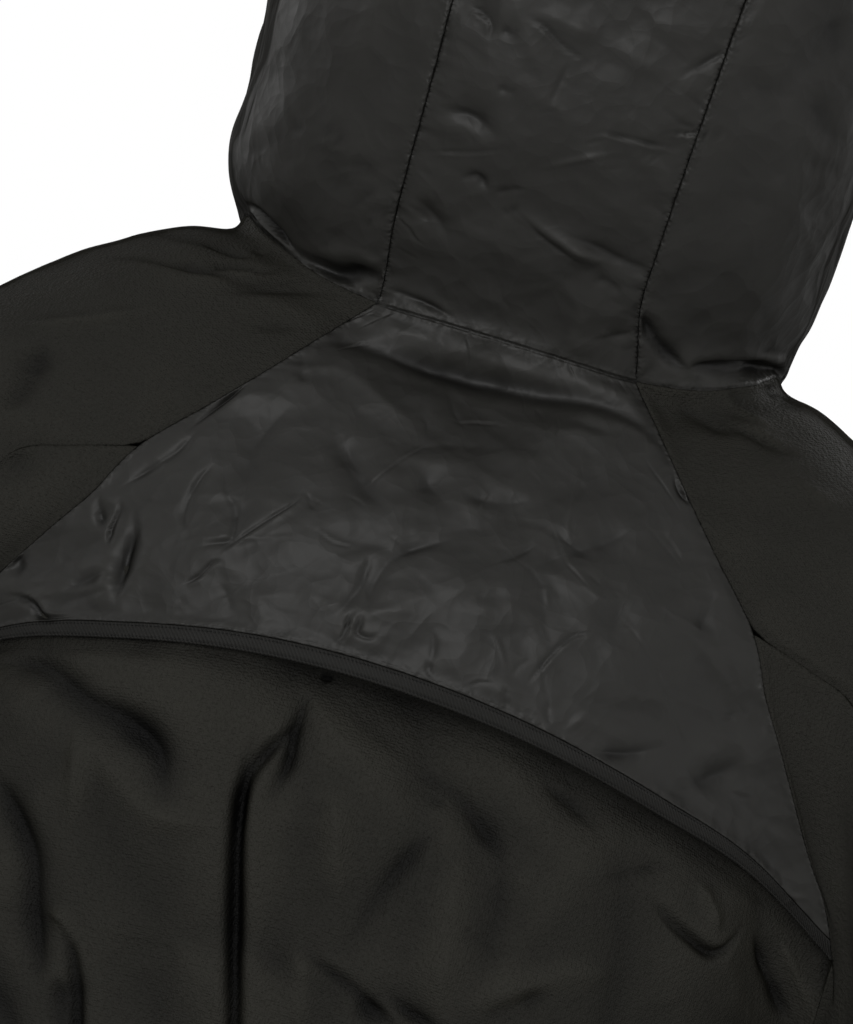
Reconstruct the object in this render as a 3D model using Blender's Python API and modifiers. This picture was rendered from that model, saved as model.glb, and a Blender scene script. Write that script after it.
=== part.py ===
"""Padded hooded jacket with raglan sleeves, zipped up and filled out as when worn.

All cloth lies on one smooth form: torso, sleeves and hood blended together.
Seam curves on that form bound the panels.  Each panel is a grid fitted between
its seams, laid on the form, folded by the fold table and given its thickness
inward.  Metres, +Z up, the front faces -Y.  The origin is on the middle plane,
inside the neck ring, at the height of the centre-back neck seam.
"""
import math

import bmesh
import bpy
import numpy as np
from mathutils import Matrix, Vector

MM = 0.001

# Cloth
WALL = 0.0030            # padded cloth, outer face to lining face
SEAM_GAP = 0.00036       # left open between two panels at a seam
BINDING_WIDTH = 0.0076   # strip along the lower edge of the back cape
BINDING_WALL = 0.0034
BINDING_PROUD = 0.0002   # the binding over the cape's own face
CAPE_LIFT = 0.0030       # the cape's loose edge stands this far off the form
CAPE_EASE = 4            # and eases to nothing over one part in this many of its width
BODY_SINK = 0.0038       # the lower back passes this far under the cape
SINK_REACH = 0.030       # and comes back to the form over this height

# Form: half widths and depths of the torso, at heights above the neck seam
TORSO = np.array([
    # z,     half width, back y, front y
    (-0.740, 0.2240,     0.1320, -0.1480),
    (-0.600, 0.2170,     0.1320, -0.1540),
    (-0.450, 0.2030,     0.1220, -0.1550),
    (-0.330, 0.1930,     0.1230, -0.1530),
    (-0.230, 0.1920,     0.1280, -0.1420),
    (-0.130, 0.1880,     0.1200, -0.1160),
])
TORSO_DOME = (-0.130, 0.128)     # the shoulders close from this height, over this rise
TORSO_SQUARENESS = 2.35

# Form: the hood, from inside the collar to the crown
HOOD = np.array([
    # z,     half width, back y, front y
    (-0.120, 0.0900,     0.0600, -0.0860),
    (-0.040, 0.0990,     0.0650, -0.0960),
    (0.010,  0.1105,     0.0745, -0.1105),
    (0.040,  0.1224,     0.0930, -0.1230),
    (0.080,  0.1262,     0.1130, -0.1320),
    (0.140,  0.1275,     0.1270, -0.1360),
    (0.190,  0.1240,     0.1300, -0.1340),
])
HOOD_DOME = (0.170, 0.148)
HOOD_SQUARENESS = 2.6
HOOD_LEAN = 0.0054               # the back of the hood stands this far to the wearer's left
LEAN_RISE = (0.000, 0.035)       # from this height, reached over this rise
LEAN_DEPTH = (-0.100, 0.060)     # from this far in front, reached over this depth

# Form: the sleeve, along its middle from inside the neck to the cuff (wearer's left)
SLEEVE = np.array([
    # x,     y,       z,       radius
    (0.050,  0.0040, -0.0520,  0.0708),
    (0.098,  0.0060, -0.0548,  0.0712),
    (0.125,  0.0080, -0.0670,  0.0720),
    (0.152,  0.0090, -0.0902,  0.0727),
    (0.190,  0.0080, -0.1275,  0.0718),
    (0.224,  0.0060, -0.1678,  0.0699),
    (0.253,  0.0030, -0.2168,  0.0677),
    (0.277,  0.0000, -0.2850,  0.0655),
    (0.304, -0.0040, -0.3800,  0.0630),
    (0.325, -0.0120, -0.4650,  0.0590),
    (0.346, -0.0300, -0.5600,  0.0520),
    (0.364, -0.0520, -0.6550,  0.0430),
])
SLEEVE_BLEND = 0.030
HOOD_BLEND = 0.012

# Heights and widths of the edges
HEM_Z = -0.685
HEM_BULGE = {"back": 0.14, "front": 0.09}    # first guess at how far the hem reaches out
ZIP_EDGE = 0.0088        # the fronts end this far from the middle
NECK_CORNER = 0.0550     # cape and hood centre panel, half width at the neck

# Neck ring, centre back to centre front
NECK_RING = np.array([
    # x,      y,       z
    (0.0000,  0.0715, -0.0008),
    (0.0300,  0.0700, -0.0008),
    (0.0550,  0.0645, -0.0004),
    (0.0810,  0.0530,  0.0040),
    (0.1000,  0.0350,  0.0120),
    (0.1130,  0.0080,  0.0185),
    (0.1060, -0.0320,  0.0020),
    (0.0850, -0.0680, -0.0330),
    (0.0500, -0.0880, -0.0620),
    (ZIP_EDGE, -0.0960, -0.0740),
])
RAGLAN_BACK = np.array([
    # x,      z, seen from behind: neck, ..., corner of the cape
    (0.0550, -0.0004), (0.0690, -0.0160), (0.0880, -0.0380), (0.1060, -0.0580), (0.1300, -0.0840),
    (0.1400, -0.1040), (0.1550, -0.1276), (0.1760, -0.1616), (0.1896, -0.1812), (0.1984, -0.2008),
])
RAGLAN_FRONT = np.array([
    # x,      z, seen from the front: neck, ..., above the armpit
    (0.0850, -0.0330), (0.0960, -0.0640), (0.1130, -0.0980), (0.1340, -0.1340),
    (0.1560, -0.1720), (0.1760, -0.2120), (0.1900, -0.2450),
])
SPLIT_BACK_X = 0.1300    # where the sleeve's own seam leaves the raglan seams
SPLIT_FRONT_X = 0.1440
ARMPIT = (0.2000, -0.0020, -0.2870)
CAPE_ARCH = np.array([
    # |x|,    z of the lower edge of the binding
    (0.0000, -0.1470), (0.0216, -0.1475), (0.0656, -0.1518), (0.1124, -0.1618),
    (0.1586, -0.1760), (0.1990, -0.2005),
])
CAPE_TILT = 0.030        # the arch hangs lower on the wearer's right
SLEEVE_SEAM_TOP = {      # first stretch of the sleeve seams, (x, z) from behind and in front
    "back": np.array([(0.1300, -0.0840), (0.1560, -0.0915), (0.1760, -0.0995), (0.1860, -0.1210),
                      (0.1950, -0.1500), (0.2080, -0.1920)]),
    "front": np.array([(0.1440, -0.1510), (0.1660, -0.1590), (0.1850, -0.1690), (0.1980, -0.1900),
                       (0.2090, -0.2150)]),
}
UNDER_ROUNDS = 3         # the under panel's narrow corners fold over if it is evened out more
SLEEVE_SEAM_ANGLE = math.radians(35.0)   # turned in from the back and the front of the sleeve

# Hood centre panel: half width at heights up the back, then at turns over the crown
HOOD_SEAM_BACK = np.array([
    # x,      z
    (0.0525,  0.0250), (0.0530,  0.0480), (0.0540,  0.0850), (0.0555,  0.1250), (0.0575,  0.1650),
])
HOOD_SEAM_CROWN = np.array([
    # x,      turn up from straight back (degrees)
    (0.0585, 28.0), (0.0590, 50.0), (0.0595, 70.0), (0.0600, 92.0), (0.0600, 112.0),
])
CROWN_MIDDLE = (0.010, 0.140)        # y, z
FACE_MIDDLE = (0.0, -0.020, 0.140)
FACE_REACH = 0.14
FACE_OPENING = np.array([
    # turn up from the chin, spread from straight ahead (degrees)
    (0.0, 50.0), (30.0, 46.5), (60.0, 46.0), (90.0, 49.0), (120.0, 54.0), (150.0, 61.0), (180.0, 66.0),
])

# Grid counts along the seams
EDGE_SAMPLES = 400       # points on a dense edge, before it is cut into even steps
HEM_ROUNDS = 6           # rounds of laying the hem on the form and making it level again
FOLD_STEPS = 12          # straight steps in the path of a fold
N_NECK_BACK = 14         # across the cape and the hood centre panel
N_NECK_SIDE = 8          # raglan to raglan over the shoulder
N_NECK_FRONT = 8         # raglan to zip
N_RAGLAN_UPPER = 4       # neck to sleeve seam, back and front alike
N_RAGLAN_MIDDLE = 4      # sleeve seam to binding, back
N_RAGLAN_LOWER = 3       # binding to armpit, back
N_RAGLAN_FRONT = 5       # sleeve seam to armpit, front
N_SLEEVE = 15
N_SIDE_SEAM = 12
N_HOOD = 12              # neck to brow
N_BODY = 18              # side to side of the lower back

# Zip: coil, tapes and slider
CHAIN_HALF = 0.0020
CHAIN_WALL = 0.0026
CHAIN_PROUD = 0.0006
TAPE_INNER = 0.0024
TAPE_WALL = 0.0012
TAPE_SINK = 0.0012
SLIDER = (0.0090, 0.0042, 0.0120)    # width, depth, height
SLIDER_CLEAR = 0.0012                # slider to the form, past the fronts beside it
SLIDER_DROP = 0.0030                 # slider's top below the chin
SHORTEST_STEP = 0.0020               # least length of the coil's first stretch
LUG = (0.0014, 0.0046, 0.0040)
LUG_ROOT = 0.0006                    # sunk into the slider
LUG_SPAN = 0.0060
PIN_RADIUS = 0.0008
PIN_STAND = 0.0029                   # pin axis in front of the slider's face
TAB = (0.0044, 0.0014, 0.0240)
TAB_EYE = (0.0021, 0.0012)           # outer and inner radius

# Colours: (red, green, blue), linear
SHINY_CLOTH = (0.026, 0.025, 0.023)
MATTE_CLOTH = (0.019, 0.018, 0.014)
BINDING_CLOTH = (0.014, 0.014, 0.013)
ZIP_BLACK = (0.008, 0.008, 0.008)
METAL = (0.030, 0.030, 0.030)

# Large folds: seen from behind (1) or in front (-1), depth out of the form, half width and the
# (x, z) points of each, all in millimetres
FOLDS = (
    # side, depth, half width, points
    (1, -3.0, 9, ((74, -18), (38, -15), (-2, -16), (-44, -18), (-78, -25))),
    (1, -3.5, 9, ((94, -76), (104, -98), (97, -114), (90, -124))),
    (1, -3.0, 13, ((-26, -94), (-61, -69), (-78, -38))),
    (1, 2.5, 8, ((-74, -96), (-58, -109), (-48, -126), (-40, -142))),
    (1, -7.0, 12, ((36, -158), (47, -188), (48, -219), (37, -251), (22, -298), (10, -350))),
    (1, -6.0, 13, ((166, -182), (128, -187), (98, -189), (83, -202), (78, -226), (76, -262))),
    (1, -5.0, 14, ((150, -234), (126, -248), (111, -276), (100, -320))),
    (1, -5.5, 12, ((-92, -184), (-121, -195), (-142, -212), (-158, -244))),
    (1, -4.5, 14, ((8, -254), (-18, -268), (-60, -276), (-110, -266))),
    (1, -5.5, 18, ((160, -372), (104, -410), (30, -424), (-30, -414))),
    (1, -6.0, 17, ((-170, -352), (-112, -398), (-50, -418))),
    (1, -5.0, 20, ((-156, -462), (-88, -486), (-12, -470), (60, -486))),
    (1, -6.0, 17, ((128, -530), (118, -590), (124, -690))),
    (1, -6.5, 18, ((-42, -548), (-52, -610), (-46, -690))),
    (1, -5.0, 15, ((-166, -560), (-170, -690))),
    (-1, -6.0, 15, ((178, -268), (132, -302), (78, -312))),
    (-1, -5.5, 14, ((-176, -262), (-124, -290), (-80, -330))),
    (-1, -5.0, 18, ((176, -352), (120, -392), (50, -402))),
    (-1, -6.0, 17, ((-180, -372), (-110, -402), (-44, -392))),
    (-1, -5.0, 18, ((168, -462), (90, -494), (30, -484))),
    (-1, -4.5, 19, ((-150, -500), (-84, -520), (-30, -508))),
    (-1, -5.5, 17, ((108, -560), (112, -690))),
    (-1, -5.5, 18, ((-72, -580), (-78, -690))),
    (1, -4.0, 7, ((118, 31), (107, 22), (94, 13))),
    (1, -3.5, 8, ((-64, 26), (-88, 12), (-106, 22))),
    (1, -3.0, 10, ((64, 118), (40, 108), (4, 110))),
    (1, -3.0, 11, ((40, 62), (4, 70), (-50, 90))),
    (1, -4.0, 13, ((116, 176), (78, 158), (30, 172))),
    (1, -4.0, 14, ((-110, 206), (-60, 182), (-10, 196))),
    (1, -5.5, 12, ((214, -300), (262, -318), (318, -296))),
    (1, -6.5, 12, ((252, -404), (300, -420), (352, -398))),
    (1, -6.0, 11, ((268, -452), (312, -462), (366, -442))),
    (1, -5.0, 11, ((292, -520), (330, -514), (380, -530))),
    (1, -5.5, 12, ((-222, -330), (-268, -340), (-324, -318))),
    (1, -6.5, 13, ((-256, -428), (-306, -436), (-360, -420))),
    (1, -6.0, 11, ((-276, -486), (-322, -482), (-372, -498))),
    (-1, -6.0, 12, ((250, -402), (300, -386), (352, -398))),
    (-1, -6.0, 11, ((268, -454), (312, -436), (366, -444))),
    (-1, -5.0, 12, ((-224, -328), (-268, -312), (-324, -320))),
    (-1, -6.0, 12, ((-256, -430), (-306, -412), (-360, -420))),
    (1, -3.0, 9, ((192, -54), (170, -46), (146, -36))),
    (1, -3.5, 10, ((-150, -26), (-176, -58), (-216, -82))),
)


WEARER_SIDES = (("left", np.array([1.0, 1.0, 1.0])), ("right", np.array([-1.0, 1.0, 1.0])))


def smooth(t, knots, values):
    """Value at t of the smooth curve through (knots, values)."""
    knots = np.asarray(knots, float)
    values = np.asarray(values, float)
    t = np.clip(np.asarray(t, float), knots[0], knots[-1])
    slopes = np.gradient(values, knots, axis=0)
    i = np.clip(np.searchsorted(knots, t, side="right") - 1, 0, len(knots) - 2)
    h = knots[i + 1] - knots[i]
    u = (t - knots[i]) / h
    if values.ndim > 1:
        h = h[..., None]
        u = u[..., None]
    start = (1 + 2 * u) * (1 - u) ** 2 * values[i] + u * (1 - u) ** 2 * h * slopes[i]
    end = u * u * (3 - 2 * u) * values[i + 1] - u * u * (1 - u) * h * slopes[i + 1]
    return start + end


def arc_length(points):
    steps = np.linalg.norm(np.diff(points, axis=0), axis=1)
    return np.concatenate([[0.0], np.cumsum(steps)])


def along(points, count):
    """count + 1 points evenly spaced on the smooth curve through the given points."""
    points = np.asarray(points, float)
    fine = smooth(np.linspace(0, len(points) - 1, 40 * len(points)), np.arange(len(points)), points)
    length = arc_length(fine)
    even = np.linspace(0, length[-1], count + 1)
    return np.stack([np.interp(even, length, fine[:, k]) for k in range(fine.shape[1])], axis=1)


def smoothstep(t):
    t = np.clip(t, 0.0, 1.0)
    return t * t * (3 - 2 * t)


SLEEVE_LINE = along(SLEEVE, 60)
SLEEVE_S = arc_length(SLEEVE_LINE[:, :3])


def blend(a, b, reach):
    """Union of two distances with a fillet of the given reach."""
    h = np.clip(0.5 + 0.5 * (b - a) / reach, 0.0, 1.0)
    return b * (1 - h) + a * h - reach * h * (1 - h)


def section_distance(p, table, dome, squareness):
    """Distance to a body of rounded sections that closes in a dome."""
    half, back, front = smooth(p[:, 2], table[:, 0], table[:, 1:]).T
    middle = 0.5 * (back + front)
    depth = 0.5 * (back - front)
    x = np.abs(p[:, 0]) / half
    y = np.abs(p[:, 1] - middle) / depth
    z = np.maximum(p[:, 2] - dome[0], 0.0) / dome[1]
    flat = (x ** squareness + y ** squareness) ** (2.0 / squareness)
    size = np.sqrt(flat + z * z) + 1e-9
    reach = np.sqrt(p[:, 0] ** 2 + (p[:, 1] - middle) ** 2 + (z * dome[1]) ** 2)
    return reach * (1 - 1 / size)


def sleeve_nearest(p):
    """Nearest place on the sleeve's middle line: arc length, point, radius, distance."""
    q = p.copy()
    q[:, 0] = np.abs(q[:, 0])
    start = SLEEVE_LINE[:-1, :3]
    step = SLEEVE_LINE[1:, :3] - start
    t = ((q[:, None, :] - start) * step).sum(2) / (step * step).sum(1)
    t = np.clip(t, 0.0, 1.0)
    gap = np.linalg.norm(q[:, None, :] - start - t[..., None] * step, axis=2)
    k = gap.argmin(axis=1)
    row = np.arange(len(q))
    t = t[row, k]
    here = SLEEVE_LINE[k] + t[:, None] * (SLEEVE_LINE[k + 1] - SLEEVE_LINE[k])
    s = SLEEVE_S[k] + t * (SLEEVE_S[k + 1] - SLEEVE_S[k])
    return s, here[:, :3], here[:, 3], gap[row, k]


def form(p):
    """Signed distance, negative inside, to the whole filled-out jacket."""
    torso = section_distance(p, TORSO, TORSO_DOME, TORSO_SQUARENESS)
    radius, gap = sleeve_nearest(p)[2:]
    hood = section_distance(p, HOOD, HOOD_DOME, HOOD_SQUARENESS)
    return blend(blend(torso, gap - radius, SLEEVE_BLEND), hood, HOOD_BLEND)


def slope(p, step=0.001):
    """Gradient of the form."""
    out = np.empty_like(p)
    for axis in range(3):
        side = np.zeros(3)
        side[axis] = step
        out[:, axis] = (form(p + side) - form(p - side)) / (2 * step)
    return out


def outward(p):
    g = slope(p)
    return g / np.linalg.norm(g, axis=1, keepdims=True)


def settle(p, rounds=8):
    """Move points along the slope until they lie on the form."""
    p = np.array(p, float).reshape(-1, 3)
    for _ in range(rounds):
        g = slope(p)
        step = form(p)[:, None] * g / (g * g).sum(1, keepdims=True)
        size = np.linalg.norm(step, axis=1, keepdims=True)
        p = p - step * np.minimum(1.0, 0.02 / np.maximum(size, 1e-9))
    return p


RAY_STEPS = 65
RAY_HALVINGS = 25        # to well under a micrometre


def cast(origin, direction, start, end=0.0):
    """First points of the form met on the way from start down to end along each ray."""
    reach = np.linspace(start, end, RAY_STEPS)
    inside = np.stack([form(origin + r * direction) < 0 for r in reach], axis=1)
    first = np.maximum(inside.argmax(axis=1), 1)
    far, near = reach[first - 1], reach[first]
    for _ in range(RAY_HALVINGS):
        middle = 0.5 * (far + near)
        hit = form(origin + middle[:, None] * direction) < 0
        near = np.where(hit, middle, near)
        far = np.where(hit, far, middle)
    return origin + near[:, None] * direction


def face_on(xz, side):
    """Points of the form that are seen at (x, z) from behind (side 1) or in front (side -1)."""
    xz = np.asarray(xz, float)
    origin = np.stack([xz[:, 0], np.zeros(len(xz)), xz[:, 1]], axis=1)
    return cast(origin, np.tile([0.0, side, 0.0], (len(xz), 1)), 0.30, -0.02)


def sleeve_frame(s):
    """Middle point, outward and backward directions of the sleeve at arc length s."""
    line = np.stack([np.interp(s, SLEEVE_S, SLEEVE_LINE[:, k]) for k in range(3)], axis=-1)
    ahead = np.stack([np.interp(s + 0.02, SLEEVE_S, SLEEVE_LINE[:, k]) for k in range(3)], axis=-1)
    behind = np.stack([np.interp(s - 0.02, SLEEVE_S, SLEEVE_LINE[:, k]) for k in range(3)], axis=-1)
    run = ahead - behind
    run /= np.linalg.norm(run, axis=-1, keepdims=True)
    back = np.array([0.0, 1.0, 0.0]) - run[..., 1:2] * run
    back /= np.linalg.norm(back, axis=-1, keepdims=True)
    out = np.cross(run, back)
    out *= np.sign(out[..., 0:1])
    return line, out, back


def sleeve_point(s, angle):
    """Point of the form at arc length s and an angle from the outside toward the back."""
    line, out, back = sleeve_frame(s)
    radius = np.interp(s, SLEEVE_S, SLEEVE_LINE[:, 3])
    direction = np.cos(angle)[..., None] * out + np.sin(angle)[..., None] * back
    return settle(line + radius[..., None] * direction)


def to_sleeve(p, cut):
    """Sleeve coordinates (arc length, angle, distance); angles start at cut."""
    s, line, _, gap = sleeve_nearest(p)
    _, out, back = sleeve_frame(s)
    off = p - line
    angle = np.arctan2((off * back).sum(1), (off * out).sum(1))
    angle = cut + np.mod(angle - cut, 2 * math.pi)
    return np.stack([s, angle, gap], axis=1)


def from_sleeve(q):
    line, out, back = sleeve_frame(q[:, 0])
    direction = np.cos(q[:, 1:2]) * out + np.sin(q[:, 1:2]) * back
    return line + q[:, 2:3] * direction


def coons(top, bottom, left, right):
    """Grid of points between four edges; rows run from the top edge to the bottom edge."""
    u = np.linspace(0, 1, len(top))[None, :, None]
    v = np.linspace(0, 1, len(left))[:, None, None]
    edges = (1 - v) * top[None] + v * bottom[None] + (1 - u) * left[:, None] + u * right[:, None]
    corners = (1 - v) * ((1 - u) * top[0] + u * top[-1]) + v * ((1 - u) * bottom[0] + u * bottom[-1])
    return edges - corners


def panel(top, bottom, left, right, sleeve_cut=None, rounds=40):
    """Grid on the form between four seam curves, evened out by averaging."""
    if sleeve_cut is None:
        grid = coons(top, bottom, left, right)
        grid = settle(grid.reshape(-1, 3)).reshape(grid.shape)
    else:
        edges = [to_sleeve(edge, sleeve_cut) for edge in (top, bottom, left, right)]
        grid = coons(*edges)
        grid = settle(from_sleeve(grid.reshape(-1, 3))).reshape(grid.shape)
    grid[0], grid[-1], grid[:, 0], grid[:, -1] = top, bottom, left, right
    for _ in range(rounds):
        column = grid[2:, 1:-1] - grid[:-2, 1:-1]
        row = grid[1:-1, 2:] - grid[1:-1, :-2]
        by_column = (row * row).sum(2, keepdims=True)
        by_row = (column * column).sum(2, keepdims=True)
        mean = (by_column * (grid[:-2, 1:-1] + grid[2:, 1:-1]) +
                by_row * (grid[1:-1, :-2] + grid[1:-1, 2:])) / (2 * (by_column + by_row))
        grid[1:-1, 1:-1] = settle(mean.reshape(-1, 3), rounds=2).reshape(mean.shape)
    return grid


def mirrored(points):
    return points * np.array([-1.0, 1.0, 1.0])


def cape_arch(x):
    """Height of the lower edge of the binding, seen from behind."""
    return smooth(np.abs(x), CAPE_ARCH[:, 0], CAPE_ARCH[:, 1]) + CAPE_TILT * x * (1 - (x / 0.199) ** 2)


RING_SAMPLES = 200
NECK_FRONT = 7           # row of the neck ring where the front raglan seam leaves it


def neck_seams():
    """The neck ring in three stretches: cape, sleeve and front."""
    ring = settle(along(NECK_RING, RING_SAMPLES))
    length = arc_length(ring)
    behind = slice(RING_SAMPLES * 3 // 10)
    corner = np.interp(NECK_CORNER, ring[behind, 0], length[behind])
    front = length[np.linalg.norm(ring - NECK_RING[NECK_FRONT], axis=1).argmin()]
    stretches = {
        "neck_back": (0.0, corner, N_NECK_BACK // 2),
        "neck_side": (corner, front, N_NECK_SIDE),
        "neck_front": (front, length[-1], N_NECK_FRONT),
    }
    seams = {}
    for name, (start, end, count) in stretches.items():
        s = np.linspace(start, end, count + 1)
        seams[name] = np.stack([np.interp(s, length, ring[:, k]) for k in range(3)], axis=1)
    return seams


def evenly(points, count):
    """The curve through the points in count even steps, laid on the form between its ends."""
    curve = along(points, count)
    curve[1:-1] = settle(curve[1:-1])
    curve[0], curve[-1] = points[0], points[-1]
    return curve


SEAM_SAMPLES = 120
THIN_UPPER, THIN_LOWER = 4, 6    # every so many samples guide the final seam
ARMPIT_BOW = np.array([0.0, 0.010, 0.0])


def raglan_seams(neck_back, neck_front, armpit):
    """Raglan seams, neck to armpit, cut where another seam meets them."""
    back = face_on(along(RAGLAN_BACK, SEAM_SAMPLES), 1)
    back[0] = neck_back
    split = np.abs(back[:, 0] - SPLIT_BACK_X).argmin()
    length = arc_length(back)
    edge = np.abs(length - (length[-1] - BINDING_WIDTH)).argmin()
    bend = 0.5 * (back[-1] + armpit) + ARMPIT_BOW
    middle = np.concatenate([back[split:edge:THIN_LOWER], back[edge:edge + 1]])
    front = face_on(along(RAGLAN_FRONT, SEAM_SAMPLES), -1)
    front[0] = neck_front
    fork = np.abs(front[:, 0] - SPLIT_FRONT_X).argmin()
    return {
        "back_upper": evenly(back[:split + 1:THIN_UPPER], N_RAGLAN_UPPER),
        "back_middle": evenly(middle, N_RAGLAN_MIDDLE),
        "back_binding": np.stack([back[edge], back[-1]]),
        "back_lower": evenly(np.stack([back[-1], bend, armpit]), N_RAGLAN_LOWER),
        "front_upper": evenly(front[:fork + 1:THIN_UPPER], N_RAGLAN_UPPER),
        "front_lower": evenly(np.concatenate([front[fork::THIN_LOWER], [armpit]]), N_RAGLAN_FRONT),
    }


SLEEVE_SEAM_FREE = 0.05          # from here on the seam keeps its angle round the sleeve
SLEEVE_SEAM_POINTS = 9


def sleeve_seam(name, side, start):
    """Seam from the raglan seam down the back (side 1) or front (side -1) of the sleeve."""
    head = face_on(SLEEVE_SEAM_TOP[name], side)
    head[0] = start
    first = sleeve_nearest(head[-1:])[0][0] + SLEEVE_SEAM_FREE
    s = np.linspace(first, SLEEVE_S[-1], SLEEVE_SEAM_POINTS)
    angle = np.full(len(s), side * (math.pi / 2 + SLEEVE_SEAM_ANGLE))
    curve = along(np.concatenate([head, sleeve_point(s, angle)]), N_SLEEVE)
    curve[1:] = settle(curve[1:])
    return curve


def side_seam(armpit):
    z = np.linspace(armpit[2], HEM_Z, N_SIDE_SEAM + 1)
    seam = settle(np.stack([smooth(z, TORSO[:, 0], TORSO[:, 1]), np.full(len(z), -0.012), z], axis=1))
    seam += (armpit - seam[0]) * np.linspace(1, 0, len(seam))[:, None] ** 2
    return seam


def cuff_arc(start, end, count, through):
    """Cuff edge from one sleeve seam to the other, on the side of the sleeve named by an angle."""
    ends = to_sleeve(np.stack([start, end]), through - math.pi)
    angle = np.linspace(ends[0, 1], ends[1, 1], count + 1)
    arc = sleeve_point(np.full(len(angle), SLEEVE_S[-1]), angle)
    arc[0], arc[-1] = start, end
    return arc


def hem_arc(start, end, side, bulge, count):
    """Hem from one side point to another round the back (1) or the front (-1)."""
    turn = np.linspace(0, math.pi, EDGE_SAMPLES)[:, None]
    arc = (start + end) / 2 + np.cos(turn) * (start - end) / 2
    arc = arc + np.sin(turn) * np.array([0.0, side * bulge, 0.0])
    for _ in range(HEM_ROUNDS):
        arc = settle(arc, rounds=2)
        arc[:, 2] = start[2]
    length = arc_length(arc)
    even = np.linspace(0, length[-1], count + 1)
    arc = np.stack([np.interp(even, length, arc[:, k]) for k in range(3)], axis=1)
    arc[0], arc[-1] = start, end
    return arc


def face_opening(turn):
    """Edge of the hood round the face; turn runs from 0 at the chin to 180 at the brow."""
    spread = np.radians(smooth(turn, FACE_OPENING[:, 0], FACE_OPENING[:, 1]))
    turn = np.radians(turn)
    direction = np.stack([np.sin(spread) * np.sin(turn), -np.cos(spread),
                          -np.sin(spread) * np.cos(turn)], axis=1)
    return settle(np.array(FACE_MIDDLE) + FACE_REACH * direction)


def hood_seam(neck, brow):
    """Seam beside the hood's centre panel, from the neck ring over the crown to the brow."""
    turn = np.radians(HOOD_SEAM_CROWN[:, 1])
    origin = np.stack([HOOD_SEAM_CROWN[:, 0], *(np.full(len(turn), m) for m in CROWN_MIDDLE)], axis=1)
    crown = cast(origin, np.stack([np.zeros(len(turn)), np.cos(turn), np.sin(turn)], axis=1), 0.30)
    back = face_on(HOOD_SEAM_BACK, 1)
    return evenly(np.concatenate([[neck], back, crown, [brow]]), N_HOOD)


def joined(*curves):
    """Curves end to end, each shared point kept once."""
    return np.concatenate([curves[0]] + [curve[1:] for curve in curves[1:]])


def fold_paths():
    """Each large fold as points on the form, with its depth and half width."""
    paths = []
    for side, depth, width, points in FOLDS:
        line = along(np.array(points, float) * MM, FOLD_STEPS)
        paths.append((settle(face_on(line, side)), depth * MM, width * MM))
    return paths


def fold_depth(p, paths):
    """How far the folds push each point of the form in (negative) or out."""
    total = np.zeros(len(p))
    for path, depth, width in paths:
        start = path[:-1]
        step = path[1:] - start
        t = np.clip(((p[:, None, :] - start) * step).sum(2) / (step * step).sum(1), 0.0, 1.0)
        gap = np.linalg.norm(p[:, None, :] - start - t[..., None] * step, axis=2)
        k = gap.argmin(axis=1)
        row = np.arange(len(p))
        place = (k + t[row, k]) / len(step)
        taper = smoothstep(4 * place) * smoothstep(4 * (1 - place))
        total += depth * taper * np.exp(-(gap[row, k] / width) ** 2)
    return total


def leaned(p):
    """Points moved to the wearer's left where the hood leans."""
    rise = smoothstep((p[:, 2] - LEAN_RISE[0]) / LEAN_RISE[1])
    depth = smoothstep((p[:, 1] - LEAN_DEPTH[0]) / LEAN_DEPTH[1])
    return p + HOOD_LEAN * (rise * depth)[:, None] * np.array([1.0, 0.0, 0.0])


def shrink(grid, normal, amount):
    """Move the four edges of a grid in along the surface."""
    out = grid.copy()
    edges = ((grid[0], grid[1], normal[0], (0, slice(None))),
             (grid[-1], grid[-2], normal[-1], (-1, slice(None))),
             (grid[:, 0], grid[:, 1], normal[:, 0], (slice(None), 0)),
             (grid[:, -1], grid[:, -2], normal[:, -1], (slice(None), -1)))
    for edge, inner, up, place in edges:
        run = np.gradient(edge, axis=0)
        inward = np.cross(up, run)
        inward /= np.linalg.norm(inward, axis=1, keepdims=True)
        inward *= np.sign(((inner - edge) * inward).sum(1, keepdims=True))
        out[place] += inward * amount
    return out


def material(name, colour, roughness, metallic=0.0):
    mat = bpy.data.materials.new(name)
    mat.use_nodes = True
    shader = mat.node_tree.nodes["Principled BSDF"]
    shader.inputs["Base Color"].default_value = (*colour, 1.0)
    shader.inputs["Roughness"].default_value = roughness
    shader.inputs["Metallic"].default_value = metallic
    return mat


def add_object(name, bm, mat, collection):
    mesh = bpy.data.meshes.new(name)
    bm.to_mesh(mesh)
    bm.free()
    mesh.materials.append(mat)
    obj = bpy.data.objects.new(name, mesh)
    collection.objects.link(obj)
    return obj


def split_rims(bm, lining):
    """Cut each twisted rim face the same way on both sides of a seam, so that rims stay parallel."""
    for face in bm.faces[:]:
        if len({v in lining for v in face.verts}) == 2:
            verts = list(face.verts)
            lean = [v.co.z + 0.31 * abs(v.co.x) + 0.17 * v.co.y if v not in lining else 9.0 for v in verts]
            first = lean.index(min(lean))
            bmesh.utils.face_split(face, verts[first], verts[(first + 2) % 4])


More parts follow.
